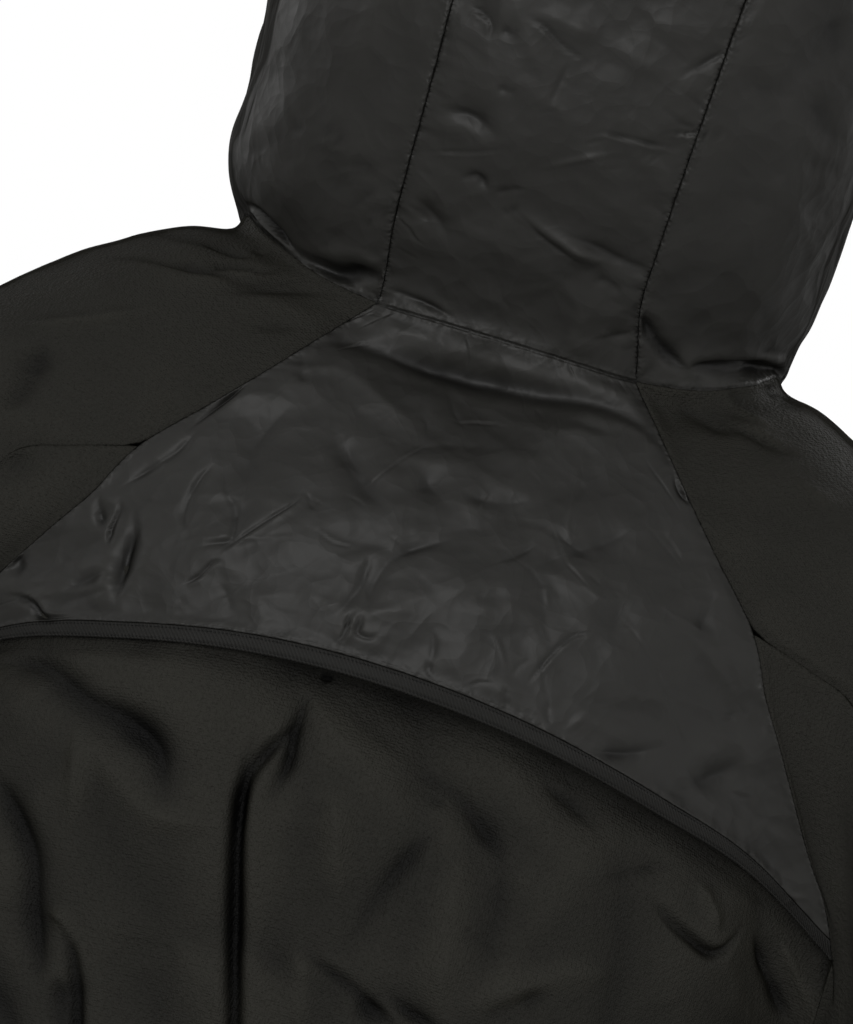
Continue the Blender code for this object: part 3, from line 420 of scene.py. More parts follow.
def crease_paths(table, side=1):
    """Creases as (kind, depth, half width, points on the form), from millimetres."""
    paths = []
    for kind, depth, width, points in table:
        steps = max(6, 4 * len(points))
        line = along(np.array(points, float) * MM, steps)
        if side > 0:
            line[:, 0] -= HOOD_LEAN * smoothstep((line[:, 1] - LEAN_RISE[0]) / LEAN_RISE[1])
        paths.append((kind, depth * MM, width * MM, settle(face_on(line, side), rounds=3)))
    return paths


def creased(p, normal, creases):
    """How far the creases push each point of the cloth, and how they narrow at their ends."""
    push = np.zeros(len(p))
    for kind, depth, width, line in creases:
        reach = CREASE_REACH * width
        inside = (p > line.min(0) - reach) & (p < line.max(0) + reach)
        near = inside.all(axis=1).nonzero()[0]
        if not len(near):
            continue
        start, step = line[:-1], np.diff(line, axis=0)
        q = p[near]
        t = (q @ step.T - (start * step).sum(1)) / (step * step).sum(1)
        t = np.clip(t, 0.0, 1.0)
        gap = sum((q[:, k:k + 1] - start[:, k] - t * step[:, k]) ** 2 for k in range(3))
        k = gap.argmin(axis=1)
        row = np.arange(len(q))
        t = t[row, k]
        place = (k + t) / len(step)
        taper = smoothstep(2.5 * place) * smoothstep(2.5 * (1 - place))
        off = q - start[k] - t[:, None] * step[k]
        side = np.sign((np.cross(step[k], off) * normal[near]).sum(1))
        x = side * np.sqrt(gap[row, k]) / (width * (0.55 + 0.45 * taper))
        uneven = 1 + 0.25 * np.sin(place * 9.0 + 40 * line[0, 0] / width)
        push[near] += depth * taper * uneven * PROFILES[kind](x)
    return push


def scattered(grid, count, seed, lean, sway, length, depth, width):
    """Small kinked creases at random places of a panel, mostly running one way."""
    grain = np.random.default_rng(seed)
    steps_r, steps_c = grid.shape[0] - 1, grid.shape[1] - 1
    row_step = arc_length(grid[:, steps_c // 2])[-1] / steps_r
    col_step = arc_length(grid[steps_r // 2])[-1] / steps_c
    creases = []
    for _ in range(count):
        reach = length * MM * np.clip(grain.lognormal(0, 0.5), 0.3, 2.6)
        heading = math.radians(lean + sway * grain.normal()) + 0.3 * grain.normal(size=5).cumsum()
        rows = grain.uniform(0.02, 0.98) * steps_r + np.sin(heading).cumsum() * reach / 5 / row_step
        cols = grain.uniform(0.02, 0.98) * steps_c + np.cos(heading).cumsum() * reach / 5 / col_step
        rows, cols = np.clip(rows, 0, steps_r - 1e-6), np.clip(cols, 0, steps_c - 1e-6)
        r, c = rows.astype(int), cols.astype(int)
        a, b = (rows - r)[:, None], (cols - c)[:, None]
        line = ((1 - a) * ((1 - b) * grid[r, c] + b * grid[r, c + 1]) +
                a * ((1 - b) * grid[r + 1, c] + b * grid[r + 1, c + 1]))
        kind = grain.choice(("trough", "lip", "lip", "ridge"))
        scale = grain.uniform(0.35, 1.25) * np.clip(reach / (length * MM), 0.4, 1.5)
        if np.linalg.norm(np.diff(line, axis=0), axis=1).min() > 0.2 * MM:
            creases.append((kind, depth * MM * scale, width * MM * grain.uniform(0.6, 1.4), line))
    return creases


INSET = 0.00003           # the outermost points stop this short of a seam
FINE_BAND = 0.0035        # the grid is finer within this of a seam
FINE_MORE = 3.0
CROWD_BAND = 0.16         # and, if crowded, within this of its first edge


def spread(count, steps, length, crowd=0.0):
    """count + 1 places between 0 and steps, closer near both ends and, if crowded, at the start."""
    t = np.linspace(INSET / length, 1 - INSET / length, 3000)
    density = 1 + FINE_MORE * (np.exp(-t * length / FINE_BAND) + np.exp(-(1 - t) * length / FINE_BAND))
    density = density + crowd * np.exp(-(t * length / CROWD_BAND) ** 2)
    total = np.concatenate([[0], np.cumsum((density[1:] + density[:-1]) / 2)])
    return np.interp(np.linspace(0, total[-1], count + 1), total, t) * steps


SEAM_BAND = 2.6 * MM      # fine gathers beside a seam
SEAM_HOLD = 1.5 * MM      # creases die out this near a seam
ROLL = 1.3 * MM           # rounding of a turned edge
WALL = 3.0 * MM           # outer cloth, padding and lining
MIN_WALL = 0.9 * MM
ALLOWANCE = 0.8 * MM      # the lining reaches this far past a seam
CALM_REACH = 5.0 * MM     # crushed cloth lies flatter this near a seam
BRIGHTEST_PAINTED_CREST = 0.6         # most a crest is painted lighter, as a highlight; deep folds are painted darker, as shade
SEAMS = ("sewn", "fine", "tight")
EDGES = {
    "fine": lambda d: -0.2 * MM * np.exp(-d / (0.3 * MM)) - 0.6 * MM * np.exp(-d / (6 * MM)),
    "sewn": lambda d: -0.6 * MM * np.exp(-d / (0.4 * MM)) - 0.7 * MM * np.exp(-d / (6 * MM)),
    "tight": lambda d: -0.5 * MM * np.exp(-d / (0.4 * MM)) - 0.3 * MM * np.exp(-d / (5 * MM)),
    "turned": lambda d: -ROLL + np.sqrt(np.maximum(ROLL ** 2 - np.maximum(ROLL - d, 0) ** 2, 0)),
    "under": lambda d: 0 * d,
}


def puckered(edge_points, distance, reach, seed):
    """Short gathers square to a seam, uneven in length and depth; 0 to 1."""
    depth = ripple(edge_points / (4.6 * MM) + distance[..., None] * (35, -20, 15), seed)
    length = reach * (1 + 0.7 * ripple(edge_points / (19 * MM), seed + 1))
    return np.maximum(depth, 0) * np.exp(-distance / np.maximum(length, 0.3 * reach))


def faceted(u, v, size, lean, stretch, seed):
    """Flat facets between straight edges, longer one way, as in crushed thin cloth; -1 to 1."""
    p = np.stack([(math.cos(lean) * u + math.sin(lean) * v) / stretch,
                  math.cos(lean) * v - math.sin(lean) * u, 0 * u], axis=-1) / size
    p[..., 0] += 0.45 * ripple(p * 0.8 + 3.3, seed)
    p[..., 1] += 0.45 * ripple(p * 0.8 + 7.1, seed + 1)
    grain = np.random.default_rng(seed)
    order, level, split = grain.permutation(256), grain.uniform(-1, 1, 256), grain.random(256) < 0.5
    i, j = (np.floor(p[..., k]).astype(int) for k in (0, 1))
    a, b = p[..., 0] - i, p[..., 1] - j

    def node(step_i, step_j):
        return order[(order[(i + step_i) & 255] + j + step_j) & 255]

    low, right, up, far = (level[node(*step)] for step in ((0, 0), (1, 0), (0, 1), (1, 1)))
    one_way = np.where(a > b, low + (right - low) * a + (far - right) * b,
                       low + (up - low) * b + (far - up) * a)
    other = np.where(a + b < 1, low + (right - low) * a + (up - low) * b,
                     far + (up - far) * (1 - a) + (right - far) * (1 - b))
    return np.where(split[node(0, 0)], one_way, other)


def evened(field, reach):
    """Mean of a grid's values over a window of the given reach in cells, both ways."""
    for axis in (0, 1):
        width = [(reach, reach) if k == axis else (0, 0) for k in (0, 1)]
        total = np.cumsum(np.pad(field, width, mode="edge"), axis=axis)
        total = np.moveaxis(total, axis, 0)
        before = np.concatenate([0 * total[:1], total[:-2 * reach - 1]])
        field = np.moveaxis((total[2 * reach:] - before) / (2 * reach + 1), 0, axis)
    return field


def rim(outer, inner, picks, forward):
    """Faces between a dense edge and a sparse one, whose points face the picked dense ones."""
    faces = []
    for s in range(len(inner) - 1):
        middle = (picks[s] + picks[s + 1]) // 2
        faces.append((inner[s], inner[s + 1], outer[middle]))
        for m in range(picks[s], picks[s + 1]):
            faces.append((outer[m + 1], outer[m], inner[s] if m < middle else inner[s + 1]))
    return faces if forward else [face[::-1] for face in faces]


def walled(name, outer, normal, push, wall, uv, finishes, edges, thin=4):
    """A closed cloth wall: a dense outer face, a plainer lining face and the rim between them."""
    rows, cols = outer.shape[:2]
    keep_r = np.unique(np.append(np.arange(0, rows, thin), rows - 1))
    keep_c = np.unique(np.append(np.arange(0, cols, thin), cols - 1))
    deepest = push.copy()
    for shift in range(-thin + 1, thin):
        deepest = np.minimum(deepest, np.roll(push, shift, axis=0))
    lowest = deepest.copy()
    for shift in range(-thin + 1, thin):
        lowest = np.minimum(lowest, np.roll(deepest, shift, axis=1))
    lowest[[0, -1]], lowest[:, [0, -1]] = push[[0, -1]], push[:, [0, -1]]
    inner = (outer + (lowest - push - wall)[..., None] * normal)[np.ix_(keep_r, keep_c)]
    for kind, (end, next_in) in zip(edges, ((np.s_[0], np.s_[1]), (np.s_[-1], np.s_[-2]),
                                            (np.s_[:, 0], np.s_[:, 1]), (np.s_[:, -1], np.s_[:, -2]))):
        if kind in SEAMS:
            inner[end] += ALLOWANCE * unit(inner[end] - inner[next_in])
    outer, inner = leaned(outer), leaned(inner)
    o = np.arange(rows * cols).reshape(rows, cols)
    i = rows * cols + np.arange(inner.shape[0] * inner.shape[1]).reshape(inner.shape[:2])
    front = np.stack([o[:-1, :-1], o[:-1, 1:], o[1:, 1:], o[1:, :-1]], axis=-1).reshape(-1, 4)
    behind = np.stack([i[:-1, :-1], i[1:, :-1], i[1:, 1:], i[:-1, 1:]], axis=-1).reshape(-1, 4)
    sides = (rim(o[0], i[0], keep_c, True) + rim(o[-1], i[-1], keep_c, False) +
             rim(o[:, 0], i[:, 0], keep_r, False) + rim(o[:, -1], i[:, -1], keep_r, True))
    r, c = rows // 2, cols // 2
    facing = np.cross(outer[r, c + 1] - outer[r, c], outer[r + 1, c] - outer[r, c]) @ normal[r, c]
    faces = front.tolist() + behind.tolist() + sides
    if facing < 0:
        faces = [face[::-1] for face in faces]
    mesh = bpy.data.meshes.new(name)
    mesh.from_pydata(np.concatenate([outer.reshape(-1, 3), inner.reshape(-1, 3)]), [], faces)
    for finish in finishes:
        mesh.materials.append(finish)
    slots = np.zeros(len(faces), int)
    slots[len(front):len(front) + len(behind)] = len(finishes) - 1
    mesh.polygons.foreach_set("material_index", slots)
    inner_uv = uv[np.ix_(keep_r, keep_c)]
    flat_uv = np.concatenate([uv.reshape(-1, 2), inner_uv.reshape(-1, 2)])
    corner = np.empty(len(mesh.loops), int)
    mesh.loops.foreach_get("vertex_index", corner)
    layer = mesh.uv_layers.new(name="cloth")
    layer.uv.foreach_set("vector", flat_uv[corner].astype(np.float32).ravel())
    mesh.shade_smooth()
    mesh.update()
    obj = bpy.data.objects.new(name, mesh)
    bpy.context.scene.collection.objects.link(obj)
    return obj


def dressed(name, grid, counts, edges, creases, finishes, pucker=0.3, pucker_reach=8, crumples=(),
            lift=None, wall=WALL, crowd=0.0, relief=None, painted_fold_shading=(4, 0.6)):
    """One panel's cloth on its fine grid.  Edges are top, bottom, left and right.  Each row of
    crumples is a depth and a size in millimetres, a lean in degrees, a stretch along it and a
    softening in cells.  Painted fold shading is set by a reach in cells and a height in
    millimetres: crests are painted lighter, as a highlight, and hollows darker, as shade."""
    steps_r, steps_c = grid.shape[0] - 1, grid.shape[1] - 1
    normal = unit(slope(grid.reshape(-1, 3))).reshape(grid.shape)
    down = np.cumsum(np.linalg.norm(np.diff(grid, axis=0, prepend=grid[:1]), axis=2), axis=0)
    across = np.cumsum(np.linalg.norm(np.diff(grid, axis=1, prepend=grid[:, :1]), axis=2), axis=1)
    extra = np.zeros(grid.shape[:2]) if lift is None else np.broadcast_to(lift, grid.shape[:2])
    fields = np.concatenate([grid, normal, down[..., None], (down[-1] - down)[..., None],
                             across[..., None], (across[:, -1:] - across)[..., None],
                             extra[..., None]], axis=2)
    rows = spread(counts[0], steps_r, down[-1].mean(), crowd=crowd)
    cols = spread(counts[1], steps_c, across[:, -1].mean())
    fields = resample(fields, rows, cols)
    p, n = fields[..., :3], unit(fields[..., 3:6])
    distances = [fields[..., k] for k in (6, 7, 8, 9)]
    u = 0.5 * (distances[2] - distances[3])
    v = np.broadcast_to(distances[0].mean(axis=1, keepdims=True), u.shape)
    sewn_gap = np.full(u.shape, 1.0)
    for kind, distance in zip(edges, distances):
        if kind in SEAMS:
            sewn_gap = np.minimum(sewn_gap, distance)
    push = creased(p.reshape(-1, 3), n.reshape(-1, 3), creases).reshape(u.shape)
    push *= 1 - np.exp(-(sewn_gap / SEAM_HOLD) ** 2)
    ends = (p[:1], p[-1:], p[:, :1], p[:, -1:])
    for kind, distance, end in zip(edges, distances, ends):
        push += EDGES[kind](distance)
        if kind in SEAMS:
            here = distance < 5 * pucker_reach * MM
            points = np.broadcast_to(end, p.shape)[here]
            push[here] -= pucker * MM * puckered(points, distance[here], pucker_reach * MM, 11)
    seed = 100 + sum(map(ord, name))
    calm = 1 - np.exp(-(sewn_gap / CALM_REACH) ** 2)
    for depth, size, lean, stretch, soften in crumples:
        seed += 10
        facets = faceted(u, v, size * MM, math.radians(lean), stretch, seed)
        patchy = 0.35 + smoothstep(0.5 + ripple(p / (2.5 * size * MM), seed))
        push += depth * MM * calm * patchy * evened(facets, soften)
    push += fields[..., 10]
    if relief:
        push += relief(distances[0], distances[1], u)
    outer = p + push[..., None] * n
    rolled = sum(np.exp(-(d / ROLL) ** 2) * (k != "under") for k, d in zip(edges, distances))
    thickness = wall - (wall - MIN_WALL) * np.minimum(rolled, 1.0)
    obj = walled(name, outer, n, push, thickness, np.stack([u, v], axis=-1), finishes, edges)
    near = obj.data.attributes.new("near_seam", "FLOAT", "POINT")
    strength = np.zeros(len(obj.data.vertices), np.float32)
    strength[:u.size] = np.exp(-(sewn_gap.ravel() / SEAM_BAND) ** 1.5)
    near.data.foreach_set("value", strength)
    # Painted fold shading: where the cloth stands above its surroundings it is painted lighter, as a
    # highlight, and where it sinks below them, darker, as shade.
    painted_shading = obj.data.attributes.new("painted_fold_shading", "FLOAT", "POINT")
    stands = (push - evened(push, painted_fold_shading[0])) / (painted_fold_shading[1] * MM)
    shade = np.where(stands > 0, BRIGHTEST_PAINTED_CREST * np.tanh(stands), -stands ** 2 / (1 + abs(stands)))
    strength[:u.size] = shade.ravel()
    painted_shading.data.foreach_set("value", strength)
    edges = dict(zip(("top", "bottom", "left", "right"), distances))
    return {"object": obj, "outer": leaned(outer), "normal": n, **edges}


# Materials of the cloth: one shader for all, set by colour, gloss and weave
DYE_SCALE = 28.0
GATHER_SCALE = 330.0
GATHER_DEPTH = 1.1 * MM
GLOSS_FADE = (0.2, 0.8)   # from square on to glancing, the gloss dies out between these
EDGE_GLOSS = 0.001        # what is left of it at a glancing view
TICK_DEPTH = 0.3 * MM     # stitches draw the cloth in across a seam
# the drawn-in ticks are painted this much darker, as shade
TICK_SHADE = 0.3


def cloth_finish(name, colour, roughness, specular, pitch=0.0, relief=0.0, crinkle=0.0,
                 crinkle_scale=60.0, uneven=0.12, painted_shade_strength=0.5, crush=0.0, crush_scale=45.0, tick=0.0):
    """Cloth: uneven dye, crests painted lighter as a highlight and hollows darker as shade, crinkles, and
    if given crushed facets, threads or ticks.
    """
    mat = bpy.data.materials.new(name)
    mat.use_nodes = True
    nodes, links = mat.node_tree.nodes, mat.node_tree.links
    shader = nodes["Principled BSDF"]
    shader.inputs["Roughness"].default_value = roughness
    shader.inputs["Specular IOR Level"].default_value = specular
    facing = added(nodes, "ShaderNodeLayerWeight", {"Blend": 0.5})
    gloss = added(nodes, "ShaderNodeMapRange", {"From Min": GLOSS_FADE[0], "From Max": GLOSS_FADE[1],
                                                "To Min": specular, "To Max": EDGE_GLOSS})
    links.new(facing.outputs["Facing"], gloss.inputs["Value"])
    links.new(gloss.outputs["Result"], shader.inputs["Specular IOR Level"])
    place = added(nodes, "ShaderNodeTexCoord")
    cloudy = added(nodes, "ShaderNodeTexNoise", {"Scale": DYE_SCALE, "Detail": 5.0, "Roughness": 0.62})
    tint = added(nodes, "ShaderNodeMapRange", {"To Min": 1.0 - uneven, "To Max": 1.0 + uneven})
    dye = added(nodes, "ShaderNodeMix", data_type="RGBA", blend_type="MULTIPLY")
    dye.inputs["Factor"].default_value = 1.0
    dye.inputs["A"].default_value = (*colour, 1)
    links.new(place.outputs["Object"], cloudy.inputs["Vector"])
    # The painted fold shading attribute lightens crests, as a painted highlight, and darkens hollows, as
    # painted shade, in the base colour.
    painted_fold_shading = added(nodes, "ShaderNodeAttribute", attribute_name="painted_fold_shading")
    painted_shading = added(nodes, "ShaderNodeMath", {0: 1.0 + painted_shade_strength}, operation="POWER")
    both = added(nodes, "ShaderNodeMath", operation="MULTIPLY")
    links.new(painted_fold_shading.outputs["Fac"], painted_shading.inputs[1])
    links.new(cloudy.outputs["Fac"], tint.inputs["Value"])
    links.new(tint.outputs["Result"], both.inputs[0])
    links.new(painted_shading.outputs[0], both.inputs[1])
    links.new(both.outputs[0], dye.inputs["B"])
    links.new(dye.outputs["Result"], shader.inputs["Base Color"])
    fine = added(nodes, "ShaderNodeTexNoise", noise_type="RIDGED_MULTIFRACTAL")
    fine.inputs["Scale"].default_value = crinkle_scale
    fine.inputs["Detail"].default_value = 3.0
    fine.inputs["Roughness"].default_value = 0.55
    fine.inputs["Distortion"].default_value = 0.8
    links.new(place.outputs["Object"], fine.inputs["Vector"])
    seam = added(nodes, "ShaderNodeAttribute", attribute_name="near_seam")
    gathers = added(nodes, "ShaderNodeTexNoise", {"Scale": GATHER_SCALE, "Detail": 1.0})
    gathered = added(nodes, "ShaderNodeMath", operation="MULTIPLY")
    links.new(place.outputs["Object"], gathers.inputs["Vector"])
    links.new(seam.outputs["Fac"], gathered.inputs[0])
    links.new(gathers.outputs["Fac"], gathered.inputs[1])
    puckers = added(nodes, "ShaderNodeBump", {"Distance": GATHER_DEPTH})
    links.new(gathered.outputs[0], puckers.inputs["Height"])
    bump = added(nodes, "ShaderNodeBump", {"Distance": crinkle})
    links.new(fine.outputs["Fac"], bump.inputs["Height"])
    links.new(puckers.outputs["Normal"], bump.inputs["Normal"])
    links.new(bump.outputs["Normal"], shader.inputs["Normal"])
    if crush:
        drift = added(nodes, "ShaderNodeTexNoise", {"Scale": 0.8 * crush_scale})
        moved = added(nodes, "ShaderNodeVectorMath", operation="MULTIPLY_ADD")
        moved.inputs[1].default_value = (0.7 / crush_scale,) * 3
        cells = added(nodes, "ShaderNodeTexVoronoi", {"Scale": crush_scale, "Detail": 1.5})
        facets = added(nodes, "ShaderNodeBump", {"Distance": crush})
        links.new(place.outputs["Object"], drift.inputs["Vector"])
        links.new(drift.outputs["Color"], moved.inputs[0])
        links.new(place.outputs["Object"], moved.inputs[2])
        links.new(moved.outputs["Vector"], cells.inputs["Vector"])
        links.new(cells.outputs["Distance"], facets.inputs["Height"])
        links.new(facets.outputs["Normal"], puckers.inputs["Normal"])
    chart = added(nodes, "ShaderNodeUVMap", uv_map="cloth")
    grid = added(nodes, "ShaderNodeSeparateXYZ")
    links.new(chart.outputs["UV"], grid.inputs["Vector"])

    def wave_along(axis, pitch):
        """Waves of the given pitch across the cloth or down it."""
        turn = added(nodes, "ShaderNodeMath", {1: 2 * math.pi / pitch}, operation="MULTIPLY")
        wave = added(nodes, "ShaderNodeMath", operation="SINE")
        links.new(grid.outputs[axis], turn.inputs[0])
        links.new(turn.outputs[0], wave.inputs[0])
        return wave

    if tick:
        near = added(nodes, "ShaderNodeMath", {1: 4.0}, operation="POWER")
        wave = wave_along("Y", tick)
        held = added(nodes, "ShaderNodeMath", operation="MULTIPLY", use_clamp=True)
        drawn = added(nodes, "ShaderNodeBump", {"Distance": TICK_DEPTH}, invert=True)
        # the ticks' dips are painted darker in the base colour, as shade
        shade = added(nodes, "ShaderNodeMath", operation="MULTIPLY_ADD")
        shade.inputs[1].default_value = -TICK_SHADE
        shade.inputs[2].default_value = 1.0
        shaded = added(nodes, "ShaderNodeMath", operation="MULTIPLY")
        links.new(seam.outputs["Fac"], near.inputs[0])
        links.new(wave.outputs[0], held.inputs[0])
        links.new(near.outputs[0], held.inputs[1])
        links.new(held.outputs[0], drawn.inputs["Height"])
        links.new(bump.outputs["Normal"], drawn.inputs["Normal"])
        links.new(drawn.outputs["Normal"], shader.inputs["Normal"])
        links.new(held.outputs[0], shade.inputs[0])
        links.new(shade.outputs[0], shaded.inputs[0])
        links.new(both.outputs[0], shaded.inputs[1])
        links.new(shaded.outputs[0], dye.inputs["B"])
    if pitch:
        threads = added(nodes, "ShaderNodeMath", operation="ADD")
        for k, axis in enumerate(("X", "Y")):
            links.new(wave_along(axis, pitch).outputs[0], threads.inputs[k])
        weave = added(nodes, "ShaderNodeBump", {"Distance": relief})
        links.new(threads.outputs[0], weave.inputs["Height"])
        links.new(bump.outputs["Normal"], weave.inputs["Normal"])
        links.new(weave.outputs["Normal"], shader.inputs["Normal"])
    return mat


shiny = cloth_finish("shiny_nylon", (0.0120, 0.0117, 0.0106), 0.50, 0.15, crinkle=0.12 * MM,
                     crinkle_scale=90.0, uneven=0.05, painted_shade_strength=0.5, crush=1.2 * MM, tick=2.2 * MM)
lining = cloth_finish("plain_lining", (0.013, 0.013, 0.012), 0.6, 0.15)

# Seams shared by the cape and its neighbours, neck to armpit
NECK_CORNER = 0.0550
ZIP_EDGE = 0.0088        # the fronts end this far from the middle
NECK_RING = np.array([
    # x,      y,       z, centre back to centre front
    (0.0000,  0.0715, -0.0008),
    (0.0300,  0.0700, -0.0008),
    (0.0550,  0.0645, -0.0004),
    (0.0810,  0.0530,  0.0040),
    (0.1000,  0.0350,  0.0120),
    (0.1130,  0.0080,  0.0185),
    (0.1060, -0.0320,  0.0020),
    (0.0850, -0.0680, -0.0330),
    (0.0500, -0.0880, -0.0620),
    (ZIP_EDGE, -0.0960, -0.0740),
])
NECK_FRONT = 7           # where the front raglan seam leaves the ring
RAGLAN_BACK = np.array([
    # x,      z, seen from behind: neck to the corner of the cape
    (0.0550, -0.0004), (0.0690, -0.0160), (0.0880, -0.0380), (0.1060, -0.0580), (0.1300, -0.0840),
    (0.1400, -0.1040), (0.1550, -0.1276), (0.1760, -0.1616), (0.1896, -0.1812), (0.1984, -0.2008),
])
RAGLAN_FRONT = np.array([
    # x,      z, seen from the front: neck to above the armpit
    (0.0850, -0.0330), (0.0960, -0.0640), (0.1130, -0.0980), (0.1340, -0.1340),
    (0.1560, -0.1720), (0.1760, -0.2120), (0.1900, -0.2450),
])
SPLIT_BACK_X = 0.1300    # where the sleeve's own seam leaves the raglan seams
SPLIT_FRONT_X = 0.1440
ARMPIT = (0.2000, -0.0020, -0.2870)
BINDING_WIDTH = 0.0076
CAPE_ARCH = np.array([
    # |x|,    z of the lower edge of the binding
    (0.0000, -0.1470), (0.0216, -0.1475), (0.0656, -0.1518), (0.1124, -0.1618),
    (0.1586, -0.1760), (0.1990, -0.2005),
])
CAPE_HALF = 0.199
CAPE_TILT = 0.030        # the arch hangs lower on the wearer's right
CAPE_LIFT = 0.0030       # the loose edge stands this far off the form
NECK_STEPS = {"back": 7, "side": 8, "front": 8}
RAGLAN_STEPS = {"upper": 4, "middle": 4, "lower": 3, "front": 5}


def cape_arch(x):
    """Height of the lower edge of the binding, seen from behind."""
    tilt = CAPE_TILT * x * (1 - (x / CAPE_HALF) ** 2)
    return smooth(np.abs(x), CAPE_ARCH[:, 0], CAPE_ARCH[:, 1]) + tilt


def neck_seams():
    """The neck ring in three stretches: cape, sleeve and front."""
    ring = settle(along(NECK_RING, 400))
    length = arc_length(ring)
    corner = np.interp(NECK_CORNER, ring[:120, 0], length[:120])
    front = length[np.linalg.norm(ring - NECK_RING[NECK_FRONT], axis=1).argmin()]
    ends = (0.0, corner, front, length[-1])
    seams = {}
    for (name, steps), start, end in zip(NECK_STEPS.items(), ends[:-1], ends[1:]):
        s = np.linspace(start, end, steps * FINE + 1)
        seams[name] = np.stack([np.interp(s, length, ring[:, k]) for k in range(3)], axis=1)
    return seams


def raglan_seams(neck_back, neck_front, armpit):
    """Raglan seams, neck to armpit, cut where another seam meets them."""
    behind = face_on(along(RAGLAN_BACK, 120), 1)
    behind[0] = neck_back
    split = np.abs(behind[:, 0] - SPLIT_BACK_X).argmin()
    length = arc_length(behind)
    edge = np.abs(length - (length[-1] - BINDING_WIDTH)).argmin()
    bend = 0.5 * (behind[-1] + armpit) + np.array([0.0, 0.010, 0.0])
    ahead = face_on(along(RAGLAN_FRONT, 120), -1)
    ahead[0] = neck_front
    fork = np.abs(ahead[:, 0] - SPLIT_FRONT_X).argmin()
    steps = {name: count * FINE for name, count in RAGLAN_STEPS.items()}
    middle = np.concatenate([behind[split:edge:6], behind[edge:edge + 1]])
    return {
        "back_upper": evenly(behind[:split + 1:4], steps["upper"]),
        "back_middle": evenly(middle, steps["middle"]),
        "back_binding": evenly(behind[edge:], FINE),
        "back_lower": evenly(np.stack([behind[-1], bend, armpit]), steps["lower"]),
        "front_upper": evenly(ahead[:fork + 1:4], steps["upper"]),
        "front_lower": evenly(np.concatenate([ahead[fork::6], [armpit]]), steps["front"]),
    }


armpit = settle([ARMPIT])[0]
neck = neck_seams()
raglan = raglan_seams(neck["back"][-1], neck["side"][-1], armpit)

# Creases: kind, depth and half width, and (x, z) points in millimetres seen from behind
CAPE_CREASES = (
    ("gap", 4.2, 4.6, ((80, -24), (67, -20), (47, -18), (33, -18), (9, -18), (-10, -17), (-29, -15),
                       (-47, -14), (-61, -17), (-74, -24), (-82, -36))),
    ("ridge", 1.1, 5.0, ((66, -8), (29, -9), (-7, -10), (-41, -10))),
    ("lip", 0.9, 1.4, ((74, -20), (69, -14), (63, -10), (53, -2))),
    ("trough", 1.5, 5.0, ((77, -27), (75, -34), (73, -41))),
    ("trough", 3.0, 13.0, ((73, -45), (84, -71), (79, -104))),
    ("trough", 1.8, 6.0, ((60, -55), (53, -55), (45, -63), (35, -71), (26, -80))),
    ("lip", 1.4, 1.5, ((86, -117), (75, -103), (69, -96), (61, -86), (61, -80))),
    ("trough", 0.7, 1.9, ((58, -81), (56, -85), (52, -88))),
    ("trough", 1.4, 1.9, ((97, -80), (101, -89), (103, -100), (102, -107), (97, -113))),
    ("trough", 1.2, 1.9, ((95, -80), (89, -91), (84, -96), (82, -102), (82, -109), (89, -113), (98, -119))),
    ("lip", 1.5, 1.6, ((95, -133), (89, -126), (85, -119), (81, -120))),
    ("trough", 0.8, 1.9, ((83, -126), (78, -129), (72, -137))),
    ("trough", 2.1, 2.2, ((138, -106), (137, -111), (132, -121))),
    ("lip", 1.8, 1.9, ((132, -105), (129, -110), (130, -120), (127, -129))),
    ("trough", 4.8, 4.5, ((124, -106), (120, -116), (120, -128), (119, -137), (117, -151))),
    ("trough", 1.7, 2.2, ((132, -103), (126, -96), (118, -87), (113, -81), (107, -69))),
    ("trough", 2.2, 1.4, ((112, -73), (106, -63), (93, -44))),
    ("trough", 2.2, 4.0, ((141, -149), (133, -141), (124, -134))),
    ("lip", 2.7, 3.2, ((132, -156), (144, -160), (150, -156), (157, -155), (164, -156))),
    ("trough", 2.1, 4.0, ((165, -135), (161, -143), (159, -152))),
    ("trough", 2.3, 4.5, ((-5, -81), (15, -94), (21, -104), (22, -117), (20, -125))),
    ("trough", 2.0, 4.0, ((27, -95), (27, -111), (31, -122), (35, -127))),
    ("lip", 2.0, 1.6, ((30, -138), (27, -131), (27, -124), (25, -120))),
    ("trough", 2.0, 1.5, ((24, -120), (23, -125), (23, -129), (18, -130), (14, -126))),
    ("trough", 1.0, 1.9, ((-38, -71), (-29, -81), (-19, -89))),
    ("trough", 2.5, 9.0, ((-75, -51), (-64, -64), (-47, -75), (-31, -89))),
    ("trough", 1.4, 5.0, ((0, -63), (-12, -63), (-29, -58))),
    ("trough", 2.0, 8.0, ((21, -58), (13, -63), (-1, -73))),
    ("trough", 2.0, 8.0, ((58, -53), (46, -66), (26, -80))),
    ("trough", 1.7, 2.2, ((-79, -29), (-83, -36), (-91, -42))),
    ("lip", 1.4, 1.6, ((-47, -131), (-52, -119), (-56, -111), (-61, -105), (-69, -102))),
    ("trough", 0.8, 1.9, ((-2, -118), (-7, -123), (-9, -134))),
    ("trough", 1.7, 6.0, ((-109, -71), (-108, -83), (-108, -93))),
    ("trough", 1.4, 8.0, ((-76, -81), (-74, -96), (-67, -106))),
    ("trough", 0.9, 1.3, ((-7, -130), (-9, -136), (-13, -139))),
    ("trough", 0.7, 1.3, ((-39, -132), (-41, -137), (-43, -142))),
    ("trough", 0.7, 1.3, ((-57, -132), (-59, -139), (-62, -143))),
    ("trough", 2.4, 4.0, ((-75, -147), (-82, -147), (-96, -143), (-109, -136))),
    ("trough", 2.0, 8.0, ((-145, -128), (-136, -138), (-127, -147), (-112, -157))),
    ("trough", 0.7, 1.9, ((-126, -120), (-133, -116), (-138, -114))),
    ("ridge", 0.7, 1.6, ((-171, -185), (-177, -180), (-184, -179))),
    ("ridge", 0.7, 1.9, ((-67, -144), (-70, -139), (-75, -131))),
)

